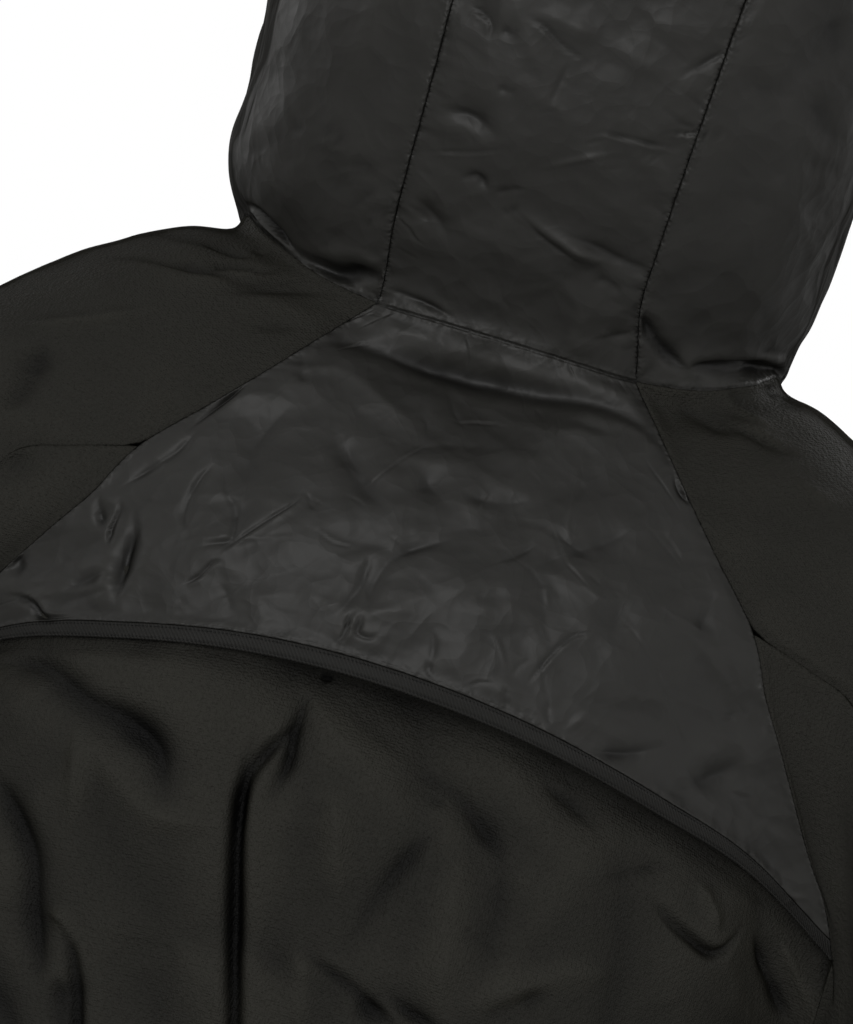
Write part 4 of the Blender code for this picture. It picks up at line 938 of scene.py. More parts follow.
cape_paths = crease_paths(CAPE_CREASES)
across = joined(mirrored(neck["back"][::-1]), neck["back"])
raglan_cape = joined(raglan["back_upper"], raglan["back_middle"])
corner, tip = raglan_cape[-1], raglan["back_binding"][-1]
x = np.linspace(-1, 1, len(across))
rise = corner[2] - cape_arch(tip[0])
edge_z = cape_arch(x * tip[0]) + BINDING_WIDTH + (rise - BINDING_WIDTH) * np.abs(x)
cape_edge = face_on(np.stack([x * corner[0], edge_z], axis=1), 1)
cape_edge[0], cape_edge[-1] = mirrored(corner), corner
cape_grid = panel(across, cape_edge, mirrored(raglan_cape), raglan_cape)
across_share = np.linspace(0, 1, cape_grid.shape[1])[None]
down_share = np.linspace(0, 1, cape_grid.shape[0])[:, None]
side_ease = smoothstep(4 * np.minimum(across_share, 1 - across_share))
cape_lift = CAPE_LIFT * side_ease * smoothstep(2 * down_share - 1)
NYLON_CRUSH = ((3.0, 42, 35, 1.7, 1), (1.5, 19, -35, 1.9, 1), (0.5, 9, 20, 2.2, 1))
cape_creases = cape_paths + scattered(cape_grid, 70, 5, -35, 40, 20, 0.35, 1.1)
cape = dressed("cape_cloth", cape_grid, (210, 400), ("sewn", "tight", "sewn", "sewn"), cape_creases,
               [shiny, lining], pucker=0.7, pucker_reach=6, crumples=NYLON_CRUSH, lift=cape_lift,
               painted_fold_shading=(9, 0.9))
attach(cape["object"], "jacket")
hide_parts("back_cape")

# ---------------------------------------------------------------------------
# Cape binding
# A narrow strip of ribbed cloth folded round the cape's loose edge and held
# by two rows of stitches.
RIB_PITCH = 1.6 * MM
RIB_DEPTH = 0.45 * MM
RIB_SLANT = 0.7
BINDING_STITCHES = (1.2 * MM, 6.2 * MM)
FOLD_HEIGHT = 0.9 * MM
ROW_WIDTH = 0.35 * MM
ROW_SINK = 0.6 * MM
LOOSE_EDGE = 0.5 * MM
BINDING_SET = 0.4 * MM    # the strip starts this far under the cape's face
binding_finish = cloth_finish("binding_cloth", (0.0098, 0.0096, 0.0088), 0.62, 0.10,
                              crinkle=0.06 * MM, crinkle_scale=300.0)
low_x = x * tip[0]
cape_low = face_on(np.stack([low_x, cape_arch(low_x)], axis=1), 1)
cape_low[0], cape_low[-1] = mirrored(tip), tip
binding_grid = coons(cape_edge, cape_low, evenly(np.stack([cape_edge[0], cape_low[0]]), FINE),
                     evenly(np.stack([cape_edge[-1], cape_low[-1]]), FINE))
binding_grid[1:-1] = settle(binding_grid[1:-1]).reshape(binding_grid[1:-1].shape)


def binding_relief(down, up, u):
    """Height of the folded strip over the cape: ribs, sunk stitch rows and a wavy lower edge."""
    swell = FOLD_HEIGHT * smoothstep(down / (0.8 * MM))
    sway = 1.3 * np.sin(u / (9 * MM))
    ribs = RIB_DEPTH * np.sin(2 * math.pi * (u + RIB_SLANT * down) / RIB_PITCH + sway)
    rows = sum(np.exp(-((down - row) / ROW_WIDTH) ** 2) for row in BINDING_STITCHES)
    loose = LOOSE_EDGE * np.sin(u / (13 * MM)) * smoothstep(down / BINDING_WIDTH)
    return swell + ribs * smoothstep(down / (0.6 * MM)) - ROW_SINK * rows + loose


binding_lift = np.repeat(cape_lift[-1:], FINE + 1, axis=0) - BINDING_SET
binding = dressed(
    "binding_strip", binding_grid, (14, 1200), ("under", "turned", "tight", "tight"), cape_paths,
    [binding_finish, lining], pucker=0, lift=binding_lift, relief=binding_relief)
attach(binding["object"], "jacket")
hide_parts("cape_binding")

# ---------------------------------------------------------------------------
# Lower back
# Matte padded cloth that hangs from under the cape to the hem.  Its top edge
# is tucked under the cape, and its hem is turned up and stitched.
HEM_Z = -0.685
BODY_SINK = 0.0038       # the panel passes this far under the cape
SINK_REACH = 0.030       # and comes back to the form over this height
TUCK_DEPTH = 1.6 * MM    # just under the binding it is pulled in further, into shadow that the painted fold shading darkens more
TUCK_PLACE = 2.5 * MM
TUCK_REACH = 4.0 * MM
SIDE_STEPS = 12
BODY_STEPS = 18
HEM_BULGE = {"back": 0.14, "front": 0.09}
CREPE_PITCH = 1.08 * MM
matte = cloth_finish("matte_crepe", (0.0101, 0.0097, 0.0078), 0.72, 0.12, pitch=CREPE_PITCH,
                     relief=0.038 * MM, crinkle=0.18 * MM, crinkle_scale=420.0, uneven=0.12, painted_shade_strength=1.0,
                     crush=0.5 * MM, crush_scale=640.0)


def side_seam(armpit):
    z = np.linspace(armpit[2], HEM_Z, SIDE_STEPS * FINE + 1)
    seam = settle(np.stack([smooth(z, TORSO[:, 0], TORSO[:, 1]), np.full(len(z), -0.012), z], axis=1))
    seam += (armpit - seam[0]) * np.linspace(1, 0, len(seam))[:, None] ** 2
    return seam


def hem_arc(start, end, side, bulge, count):
    """Level edge from one point to another round the back (1) or the front (-1)."""
    turn = np.linspace(0, math.pi, 600)[:, None]
    arc = (start + end) / 2 + np.cos(turn) * (start - end) / 2
    arc = arc + np.sin(turn) * np.array([0.0, side * bulge, 0.0])
    for _ in range(6):
        arc = settle(arc, rounds=2)
        arc[:, 2] = start[2]
    length = arc_length(arc)
    even = np.linspace(0, length[-1], count + 1)
    arc = np.stack([np.interp(even, length, arc[:, k]) for k in range(3)], axis=1)
    arc[0], arc[-1] = start, end
    return arc


side = side_seam(armpit)
tucked = raglan["back_middle"][-1 - FINE:]
sides = joined(tucked, raglan["back_binding"], raglan["back_lower"], side)
body_x = np.linspace(-1, 1, BODY_STEPS * FINE + 1)
top_z = cape_arch(body_x * tip[0]) + tucked[0, 2] - cape_arch(tip[0])
body_top = face_on(np.stack([body_x * tucked[0, 0], top_z], axis=1), 1)
body_top[0], body_top[-1] = mirrored(tucked[0]), tucked[0]
hem = hem_arc(mirrored(side[-1]), side[-1], 1, HEM_BULGE["back"], BODY_STEPS * FINE)
body_grid = panel(body_top, hem, mirrored(sides), sides)
above = body_grid[..., 2] - cape_arch(np.clip(body_grid[..., 0], -CAPE_HALF, CAPE_HALF))
sink = -BODY_SINK * smoothstep(1 + above / SINK_REACH)
sink -= TUCK_DEPTH * np.exp(-((above + TUCK_PLACE) / TUCK_REACH) ** 2)

BACK_CREASES = (
    ("trough", 9.0, 10.0, ((170, -184), (156, -182), (139, -179), (119, -186), (100, -189), (85, -197),
                           (77, -213), (74, -226))),
    ("ridge", 3.6, 6.0, ((122, -192), (116, -203), (111, -222), (109, -242))),
    ("ridge", 3.6, 6.0, ((116, -197), (94, -215), (77, -223), (50, -218))),
    ("gap", 7.0, 3.2, ((44, -176), (47, -186), (48, -200), (45, -219), (39, -242), (32, -269), (23, -298),
                       (15, -325), (8, -350), (0, -385))),
    ("gap", 5.5, 3.0, ((46, -172), (50, -186), (49, -202), (46, -219), (41, -240), (35, -262), (28, -284))),
    ("ridge", 4.2, 7.0, ((27, -196), (18, -196), (11, -198), (4, -221), (-4, -241))),
    ("trough", 6.0, 4.0, ((33, -152), (35, -163), (35, -176), (34, -188), (36, -199), (35, -208))),
    ("gap", 5.5, 2.8, ((33, -168), (39, -177), (45, -189), (48, -203), (46, -216), (43, -226))),
    ("trough", 3.6, 2.0, ((33, -149), (29, -149), (27, -150))),
    ("trough", 8.2, 8.0, ((152, -220), (137, -234), (127, -245), (120, -256), (115, -273), (107, -292),
                          (103, -310))),
    ("ridge", 3.6, 3.5, ((112, -273), (106, -272), (100, -276), (96, -284))),
    ("gap", 6.5, 3.0, ((108, -270), (99, -280), (93, -290), (86, -310), (81, -330), (76, -350))),
    ("trough", 4.8, 7.0, ((100, -294), (94, -305), (90, -320))),
    ("gap", 3.2, 2.0, ((11, -254), (-1, -260), (-15, -265), (-26, -270), (-37, -275), (-47, -280))),
    ("trough", 3.6, 5.0, ((-16, -268), (-26, -273), (-38, -279))),
    ("trough", 4.2, 4.0, ((-28, -261), (-39, -267), (-50, -270), (-60, -274))),
    ("ridge", 3.0, 6.0, ((14, -253), (6, -263), (1, -280), (-1, -292))),
    ("trough", 4.2, 6.5, ((-14, -176), (-26, -177), (-35, -179), (-46, -187), (-57, -195), (-64, -206))),
    ("trough", 1.4, 2.0, ((-20, -182), (-28, -184), (-34, -183))),
    ("ridge", 5.4, 9.0, ((-45, -196), (-44, -212), (-46, -233), (-50, -261), (-53, -276))),
    ("trough", 3.5, 6.0, ((-36, -188), (-28, -200), (-21, -214), (-15, -232), (-11, -247), (-4, -258))),
    ("trough", 1.8, 8.0, ((-58, -190), (-62, -205), (-65, -223), (-66, -241), (-64, -258))),
    ("gap", 4.0, 2.4, ((-119, -194), (-129, -201), (-140, -207), (-152, -211), (-158, -204), (-161, -194))),
    ("trough", 2.2, 5.0, ((-98, -196), (-107, -192), (-115, -187), (-123, -183), (-130, -181))),
    ("ridge", 3.0, 4.0, ((-137, -184), (-145, -192), (-151, -203))),
    ("trough", 6.0, 3.5, ((-166, -198), (-175, -210), (-185, -224), (-192, -234))),
    ("ridge", 3.0, 2.5, ((-176, -197), (-187, -211), (-196, -224))),
    ("trough", 4.8, 3.0, ((-194, -200), (-198, -211), (-203, -224))),
    ("ridge", 4.2, 8.0, ((-58, -264), (-70, -253), (-84, -244), (-100, -234), (-120, -231))),
    ("trough", 3.6, 7.0, ((-69, -264), (-79, -254), (-89, -247), (-98, -248))),
    ("trough", 2.2, 3.5, ((-64, -156), (-70, -165), (-84, -171), (-97, -179))),
)
BACK_DRAPE = (
    # as CAPE_CREASES, lower down the back
    ("trough", 5.0, 14.0, ((36, -300), (22, -330), (10, -352))),
    ("trough", 5.0, 12.0, ((166, -262), (140, -290), (110, -320), (96, -340))),
    ("trough", 4.5, 14.0, ((8, -300), (-30, -312), (-80, -306), (-130, -290))),
    ("lip", 4.0, 6.0, ((150, -330), (108, -352), (60, -356), (22, -348))),
    ("trough", 5.5, 17.0, ((160, -372), (104, -410), (30, -424), (-30, -414))),
    ("trough", 6.0, 16.0, ((-170, -352), (-112, -398), (-50, -418))),
    ("ridge", 3.0, 12.0, ((-150, -330), (-90, -360), (-30, -366), (30, -380))),
    ("lip", 3.2, 6.0, ((-176, -392), (-140, -424), (-92, -442))),
    ("trough", 2.5, 6.0, ((90, -436), (50, -450), (0, -452))),
    ("trough", 5.0, 18.0, ((-156, -462), (-88, -486), (-12, -470), (60, -486))),
    ("lip", 3.0, 6.5, ((170, -440), (130, -470), (80, -480))),
    ("trough", 3.0, 8.0, ((150, -500), (110, -516), (60, -512))),
    ("trough", 2.6, 7.0, ((-120, -516), (-70, -530), (-20, -522))),
    ("trough", 6.0, 16.0, ((128, -530), (118, -590), (124, -690))),
    ("ridge", 3.0, 14.0, ((84, -560), (76, -620), (80, -690))),
    ("trough", 6.5, 17.0, ((-42, -548), (-52, -610), (-46, -690))),
    ("ridge", 2.6, 12.0, ((6, -580), (2, -640), (10, -690))),
    ("trough", 5.0, 14.0, ((-166, -560), (-170, -690))),
    ("trough", 2.2, 6.0, ((40, -640), (44, -690))),
    ("trough", 2.4, 6.0, ((-104, -630), (-98, -690))),
)

MATTE_CRUSH = ((7.2, 58, 65, 1.8, 2), (2.6, 25, -40, 1.8, 1), (0.4, 9, 30, 2.0, 1))
body_scatter = scattered(body_grid, 36, 6, 60, 40, 34, 0.45, 1.6)
lower_back = dressed("lower_back_cloth", body_grid, (250, 360), ("under", "turned", "sewn", "sewn"),
                     crease_paths(BACK_CREASES) + crease_paths(BACK_DRAPE) + body_scatter,
                     [matte, lining], pucker=0.2, crumples=MATTE_CRUSH, lift=sink, crowd=2.2,
                     painted_fold_shading=(15, 1.4))
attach(lower_back["object"], "jacket")
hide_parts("lower_back")

# ---------------------------------------------------------------------------
# Hood
# A centre panel from the neck over the crown to the brow, and two sides that
# meet the zip at the chin.  Padded like the cape, with puckered seams.
HOOD_STEPS = 12
HOOD_SEAM_BACK = np.array([
    # x,      z
    (0.0525,  0.0250), (0.0530,  0.0480), (0.0540,  0.0850), (0.0555,  0.1250), (0.0575,  0.1650),
])
HOOD_SEAM_CROWN = np.array([
    # x,      turn up from straight back (degrees)
    (0.0585, 28.0), (0.0590, 50.0), (0.0595, 70.0), (0.0600, 92.0), (0.0600, 112.0),
])
CROWN_MIDDLE = (0.010, 0.140)        # y, z
FACE_MIDDLE = (0.0, -0.020, 0.140)
FACE_REACH = 0.140
FACE_OPENING = np.array([
    # turn up from the chin, spread from straight ahead (degrees)
    (0.0, 50.0), (30.0, 46.5), (60.0, 46.0), (90.0, 49.0), (120.0, 54.0), (150.0, 61.0), (180.0, 66.0),
])


def face_opening(turn):
    """Edge of the hood round the face; turn runs from 0 at the chin to 180 at the brow."""
    wide = np.radians(smooth(turn, FACE_OPENING[:, 0], FACE_OPENING[:, 1]))
    turn = np.radians(turn)
    direction = np.stack([np.sin(wide) * np.sin(turn), -np.cos(wide), -np.sin(wide) * np.cos(turn)], 1)
    return settle(np.array(FACE_MIDDLE) + FACE_REACH * direction)


def hood_seam(start, brow):
    """Seam beside the hood's centre panel, from the neck ring over the crown to the brow."""
    turn = np.radians(HOOD_SEAM_CROWN[:, 1])
    origin = np.stack([HOOD_SEAM_CROWN[:, 0], *(np.full(len(turn), m) for m in CROWN_MIDDLE)], axis=1)
    crown = cast(origin, np.stack([np.zeros(len(turn)), np.cos(turn), np.sin(turn)], axis=1), 0.30)
    behind = face_on(HOOD_SEAM_BACK, 1)
    return evenly(np.concatenate([[start], behind, crown, [brow]]), HOOD_STEPS * FINE)


turn = np.linspace(90, 180, 400)
brow_turn = np.interp(-HOOD_SEAM_CROWN[-1, 0], -face_opening(turn)[:, 0], turn)
chin_turn = np.interp(-ZIP_EDGE, -face_opening(90 - turn / 2)[:, 0], 90 - turn / 2)
opening_steps = (NECK_STEPS["side"] + NECK_STEPS["front"]) * FINE
opening = face_opening(np.linspace(brow_turn, chin_turn, opening_steps + 1))
crown_seam = hood_seam(neck["back"][-1], opening[0])
brow = face_opening(np.linspace(180, brow_turn, NECK_STEPS["back"] * FINE + 1))
brow[0, 0] = 0.0
brow = joined(mirrored(brow[::-1]), brow)

HOOD_CREASES = (
    ("trough", 1.3, 1.9, ((109, 59), (105, 58), (100, 59))),
    ("lip", 2.0, 2.2, ((98, 58), (91, 59), (85, 57), (79, 55))),
    ("trough", 1.6, 4.0, ((79, 55), (76, 50), (68, 52))),
    ("trough", 0.8, 1.9, ((123, 42), (115, 47), (105, 55))),
    ("trough", 0.8, 1.9, ((108, 44), (104, 46), (99, 50))),
    ("lip", 1.2, 1.6, ((86, 36), (75, 39), (65, 43), (55, 48))),
    ("trough", 1.2, 1.6, ((75, 32), (73, 37), (69, 40))),
    ("lip", 1.0, 1.6, ((73, 27), (60, 35), (55, 42))),
    ("trough", 0.8, 1.6, ((86, 39), (79, 42), (73, 46))),
    ("trough", 0.7, 1.6, ((66, 54), (61, 58), (55, 62))),
    ("trough", 2.3, 6.0, ((55, 46), (46, 41), (37, 35), (31, 29))),
    ("trough", 0.8, 1.9, ((55, 41), (47, 38), (42, 33))),
    ("trough", 2.5, 4.5, ((56, 81), (48, 81), (40, 81), (32, 79), (24, 74))),
    ("lip", 0.8, 1.3, ((54, 62), (36, 67), (21, 73))),
    ("trough", 1.6, 2.2, ((38, 55), (31, 59), (26, 56), (23, 53))),
    ("trough", 0.8, 1.6, ((23, 54), (17, 57), (12, 59), (10, 58))),
    ("trough", 0.7, 1.6, ((18, 50), (14, 48), (12, 53))),
    ("lip", 1.4, 1.4, ((-8, 86), (-11, 89), (-21, 90), (-36, 91), (-45, 92))),
    ("ridge", 0.7, 1.3, ((11, 67), (-8, 78), (-24, 85))),
    ("ridge", 2.9, 4.5, ((12, 51), (-3, 46), (-20, 42), (-37, 40))),
    ("trough", 2.3, 4.0, ((-6, 48), (-24, 45), (-38, 43), (-51, 45))),
    ("trough", 0.9, 1.4, ((11, 50), (-3, 43), (-23, 37))),
    ("lip", 1.6, 2.0, ((55, 122), (48, 121), (43, 118), (42, 112))),
    ("trough", 1.2, 1.7, ((39, 119), (35, 117), (31, 119))),
    ("lip", 1.2, 2.0, ((33, 125), (23, 123), (14, 118), (1, 114))),
    ("trough", 0.8, 1.9, ((34, 96), (29, 95), (25, 96))),
    ("ridge", 1.6, 5.0, ((26, 128), (12, 127), (-2, 125))),
    ("trough", 1.4, 1.7, ((-34, 119), (-42, 127), (-50, 135), (-56, 139))),
    ("trough", 0.9, 1.9, ((-56, 120), (-63, 124), (-72, 126), (-81, 127))),
    ("lip", 1.4, 1.4, ((-34, 96), (-45, 99), (-54, 102), (-60, 105), (-68, 108))),
    ("trough", 0.8, 1.6, ((-36, 115), (-45, 112), (-52, 109))),
    ("trough", 0.7, 1.6, ((-31, 107), (-40, 103), (-49, 102))),
    ("trough", 0.9, 1.9, ((-59, 82), (-69, 83), (-80, 84), (-88, 85))),
    ("ridge", 1.0, 1.7, ((-76, 96), (-86, 89), (-97, 82), (-108, 71), (-116, 62))),
    ("trough", 1.3, 4.0, ((-87, 103), (-97, 104), (-110, 105))),
    ("trough", 2.0, 7.0, ((-83, 134), (-90, 125), (-102, 115), (-110, 108))),
    ("trough", 1.7, 6.0, ((-85, 162), (-90, 155), (-97, 147))),
    ("trough", 0.9, 1.9, ((-39, 68), (-46, 66), (-52, 64))),
    ("trough", 1.3, 4.0, ((-25, 31), (-31, 34), (-39, 31))),
    ("lip", 2.6, 2.2, ((-79, 8), (-81, 14), (-95, 18), (-110, 24))),
    ("trough", 1.3, 1.9, ((-99, 25), (-106, 27), (-112, 30))),
    ("ridge", 1.3, 1.9, ((-69, 15), (-75, 10), (-79, 7))),
    ("trough", 0.9, 2.2, ((-32, 10), (-44, 16), (-50, 19))),
    ("ridge", 0.9, 1.3, ((103, 17), (100, 14), (94, 9), (91, 7))),
    ("trough", 1.3, 1.6, ((105, 16), (101, 10), (94, 7))),
    ("trough", 1.8, 1.7, ((55, 6), (43, 5), (33, 4), (20, 2))),
    ("trough", 0.8, 1.6, ((66, 20), (61, 19), (56, 19))),
    ("trough", 0.8, 1.6, ((88, 14), (81, 17), (74, 28))),
    ("lip", 5.0, 4.0, ((119, 21), (112, 23), (103, 17), (90, 8))),
    ("gap", 6.0, 4.2, ((98, 8), (88, 7), (81, 6), (74, 6), (64, 9), (54, 11), (48, 14))),
    ("trough", 5.5, 3.4, ((-44, 30), (-50, 24), (-58, 17), (-65, 13), (-77, 8))),
    ("gap", 6.0, 3.0, ((-70, 10), (-76, 12), (-86, 14), (-94, 16), (-104, 19), (-114, 22), (-120, 24))),
)
HOOD_DRAPE = (
    # as HOOD_CREASES, over the crown and down the sides
    ("trough", 1.8, 9.0, ((120, 190), (96, 176), (66, 184))),
    ("trough", 1.6, 8.0, ((44, 168), (14, 160), (-18, 166))),
    ("lip", 1.4, 4.0, ((-58, 190), (-82, 182), (-110, 196))),
    ("trough", 1.8, 10.0, ((-14, 206), (-60, 192), (-104, 214))),
    ("ridge", 1.6, 7.0, ((90, 214), (60, 206), (20, 214))),
    ("trough", 1.4, 6.0, ((52, 236), (26, 240), (-4, 232))),
    ("lip", 1.5, 3.6, ((118, 150), (104, 140), (84, 142))),
)
HOOD_FACE = (
    # as HOOD_CREASES, seen from the front
    ("trough", 2.6, 8.0, ((112, 40), (100, 70), (98, 110))),
    ("trough", 2.4, 8.0, ((-114, 44), (-104, 80), (-100, 120))),
    ("lip", 2.2, 5.0, ((108, -4), (84, 14), (58, 22))),
    ("lip", 2.0, 5.0, ((-70, 20), (-92, 8), (-108, -6))),
    ("trough", 2.0, 6.0, ((88, -20), (58, -10), (30, -12))),
    ("trough", 2.2, 6.0, ((-92, -14), (-60, -2), (-32, -8))),
    ("trough", 1.6, 6.0, ((64, -42), (40, -36), (18, -40))),
    ("trough", 1.6, 6.0, ((-60, -44), (-38, -34), (-18, -36))),
    ("ridge", 1.8, 7.0, ((110, 150), (102, 180), (84, 214))),
    ("trough", 1.8, 7.0, ((-112, 160), (-100, 196), (-78, 224))),
)

hood_creases = crease_paths(HOOD_CREASES) + crease_paths(HOOD_DRAPE) + crease_paths(HOOD_FACE, -1)
centre_grid = panel(across, brow, mirrored(crown_seam), crown_seam)
centre_scatter = scattered(centre_grid, 80, 7, -15, 30, 22, 0.4, 1.1)
hood_centre = dressed("hood_centre_cloth", centre_grid, (360, 150), ("sewn", "turned", "fine", "fine"),
                      hood_creases + centre_scatter, [shiny, lining], pucker=1.1, pucker_reach=7,
                      crumples=NYLON_CRUSH, crowd=1.2, painted_fold_shading=(6, 0.8))
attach(hood_centre["object"], "jacket")
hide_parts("hood_centre")

collar_z = np.linspace(neck["front"][-1, 2], opening[-1, 2], HOOD_STEPS * FINE + 1)
collar = face_on(np.stack([np.full(len(collar_z), ZIP_EDGE), collar_z], axis=1), -1)
collar[0], collar[-1] = neck["front"][-1], opening[-1]
hood_side_grid = panel(joined(neck["side"], neck["front"]), opening, crown_seam, collar)
WEARER_SIDES = (("left", np.array([1.0, 1.0, 1.0])), ("right", np.array([-1.0, 1.0, 1.0])))
HOOD_EASE = 1.6 * MM      # the sides stand this far out, but not at the neck seam
EASE_REACH = 5.0 * MM
SIDE_SEEDS = {"left": 8, "right": 9}


def drawn_in(from_neck, from_opening, along):
    """Takes the ease back beside the neck seam."""
    return -HOOD_EASE * np.exp(-(from_neck / EASE_REACH) ** 2)


hood_sides = []
for wearer, flip in WEARER_SIDES:
    side_scatter = scattered(hood_side_grid * flip, 80, SIDE_SEEDS[wearer], 70, 40, 22, 0.4, 1.1)
    piece = dressed("hood_side_cloth_" + wearer, hood_side_grid * flip, (160, 165),
                    ("sewn", "turned", "fine", "tight"), hood_creases + side_scatter, [shiny, lining],
                    pucker=1.1, pucker_reach=7, crumples=NYLON_CRUSH, lift=HOOD_EASE, relief=drawn_in,
                    painted_fold_shading=(4, 0.8))
    hood_sides.append(piece)
    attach(piece["object"], "jacket")
    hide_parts("hood_side_" + wearer)

# ---------------------------------------------------------------------------
# Sleeves
# Each has an upper panel over the shoulder and an under panel from the armpit,
# of the matte cloth.  They stay open at the cuff and round as worn.
SLEEVE_STEPS = 15
FRAME_STEP = 0.02         # the sleeve's direction is taken over this much either way
SEAM_START = 0.05         # a seam leaves its fixed head and runs straight from here
SLEEVE_CUTS = (          # panel, grid counts, cut across and down, area
    ("upper", (200, 130), (0.304, 0.775), 0.1936),
    ("under", (120, 100), (0.200, 0.653), 0.0555),
)
SLEEVE_SEAM_TOP = {      # first stretch of the sleeve seams, (x, z) from behind and in front
    "back": np.array([(0.1300, -0.0840), (0.1560, -0.0915), (0.1760, -0.0995), (0.1860, -0.1210),
                      (0.1950, -0.1500), (0.2080, -0.1920)]),
    "front": np.array([(0.1440, -0.1510), (0.1660, -0.1590), (0.1850, -0.1690), (0.1980, -0.1900),
                       (0.2090, -0.2150)]),
}
SLEEVE_SEAM_ANGLE = math.radians(35.0)   # turned in from the back and the front of the sleeve
UNDER_ROUNDS = 3         # the under panel's narrow corners fold over if it is evened out more


def sleeve_frame(s):
    """Middle point, outward and backward directions of the sleeve at arc length s."""
    line = np.stack([np.interp(s, SLEEVE_S, SLEEVE_LINE[:, k]) for k in range(3)], axis=-1)
    ahead, behind = (
        np.stack([np.interp(s + step, SLEEVE_S, SLEEVE_LINE[:, k]) for k in range(3)], axis=-1)
        for step in (FRAME_STEP, -FRAME_STEP))
    run = unit(ahead - behind)
    backward = unit(np.array([0.0, 1.0, 0.0]) - run[..., 1:2] * run)
    outside = np.cross(run, backward)
    return line, outside * np.sign(outside[..., 0:1]), backward


def sleeve_point(s, angle):
    """Point of the form at arc length s and an angle from the outside toward the back."""
    line, outside, backward = sleeve_frame(s)
    radius = np.interp(s, SLEEVE_S, SLEEVE_LINE[:, 3])
    direction = np.cos(angle)[..., None] * outside + np.sin(angle)[..., None] * backward
    return settle(line + radius[..., None] * direction)


def to_sleeve(p, cut):
    """Sleeve coordinates (arc length, angle, distance); angles start at cut."""
    s, line, _, gap = sleeve_nearest(p)
    _, outside, backward = sleeve_frame(s)
    off = p - line
    angle = np.arctan2((off * backward).sum(1), (off * outside).sum(1))
    return np.stack([s, cut + np.mod(angle - cut, 2 * math.pi), gap], axis=1)


def from_sleeve(q):
    line, outside, backward = sleeve_frame(q[:, 0])
    return line + q[:, 2:3] * (np.cos(q[:, 1:2]) * outside + np.sin(q[:, 1:2]) * backward)


def sleeve_seam(name, side, start):
    """Seam from the raglan seam down the back (side 1) or front (side -1) of the sleeve."""
    head = face_on(SLEEVE_SEAM_TOP[name], side)
    head[0] = start
    first = sleeve_nearest(head[-1:])[0][0] + SEAM_START
    s = np.linspace(first, SLEEVE_S[-1], 9)
    angle = np.full(len(s), side * (math.pi / 2 + SLEEVE_SEAM_ANGLE))
    curve = along(np.concatenate([head, sleeve_point(s, angle)]), SLEEVE_STEPS * FINE)
    curve[1:] = settle(curve[1:])
    return curve


def cuff_arc(start, end, count, through):
    """Cuff edge from one sleeve seam to the other, on the side of the sleeve named by an angle."""
    ends = to_sleeve(np.stack([start, end]), through - math.pi)
    angle = np.linspace(ends[0, 1], ends[1, 1], count + 1)
    arc = sleeve_point(np.full(len(angle), SLEEVE_S[-1]), angle)
    arc[0], arc[-1] = start, end
    return arc


SLEEVE_CREASES = (
    ("ridge", 2.1, 3.2, ((196, -54), (185, -49), (175, -45), (162, -40), (147, -33), (135, -27))),
    ("trough", 5.1, 7.5, ((179, -51), (178, -58), (179, -71), (183, -83), (185, -88))),
    ("trough", 3.0, 3.8, ((130, 5), (126, 4), (119, 4), (111, 3), (107, 4))),
    ("lip", 3.8, 3.8, ((127, -4), (120, -4), (110, -3), (101, -2), (94, 1))),
    ("trough", 2.1, 3.1, ((126, -9), (115, -9), (106, -7), (96, -4), (80, -1))),
    ("trough", 2.1, 3.1, ((123, -17), (111, -12), (95, -7), (82, -4), (67, -1))),
    ("trough", 1.3, 2.5, ((110, 5), (107, 6), (103, 7))),
    ("lip", 1.9, 4.4, ((168, -16), (151, -11), (136, -10), (118, -8), (102, -5))),
    ("trough", 3.4, 4.4, ((145, -9), (129, -7), (116, -4), (103, -1))),
    ("trough", 1.5, 3.8, ((106, -25), (91, -21), (77, -17), (75, -18))),
    ("trough", 1.9, 6.2, ((172, -94), (173, -105), (175, -117))),
    ("lip", 2.2, 3.5, ((-130, -10), (-123, -9), (-115, -8), (-106, -6), (-97, -4), (-87, 1))),
    ("ridge", 1.5, 3.1, ((-88, 5), (-98, 2), (-107, 0), (-116, -2))),
    ("trough", 2.4, 5.0, ((-69, -1), (-77, -3), (-84, -5), (-95, -7), (-103, -7))),
    ("trough", 1.3, 3.1, ((-89, 8), (-96, 8), (-103, 9))),
    ("trough", 1.9, 2.8, ((-102, 13), (-108, 14), (-114, 16))),
    ("ridge", 1.1, 3.1, ((-125, -17), (-136, -22), (-142, -24), (-151, -25))),
)
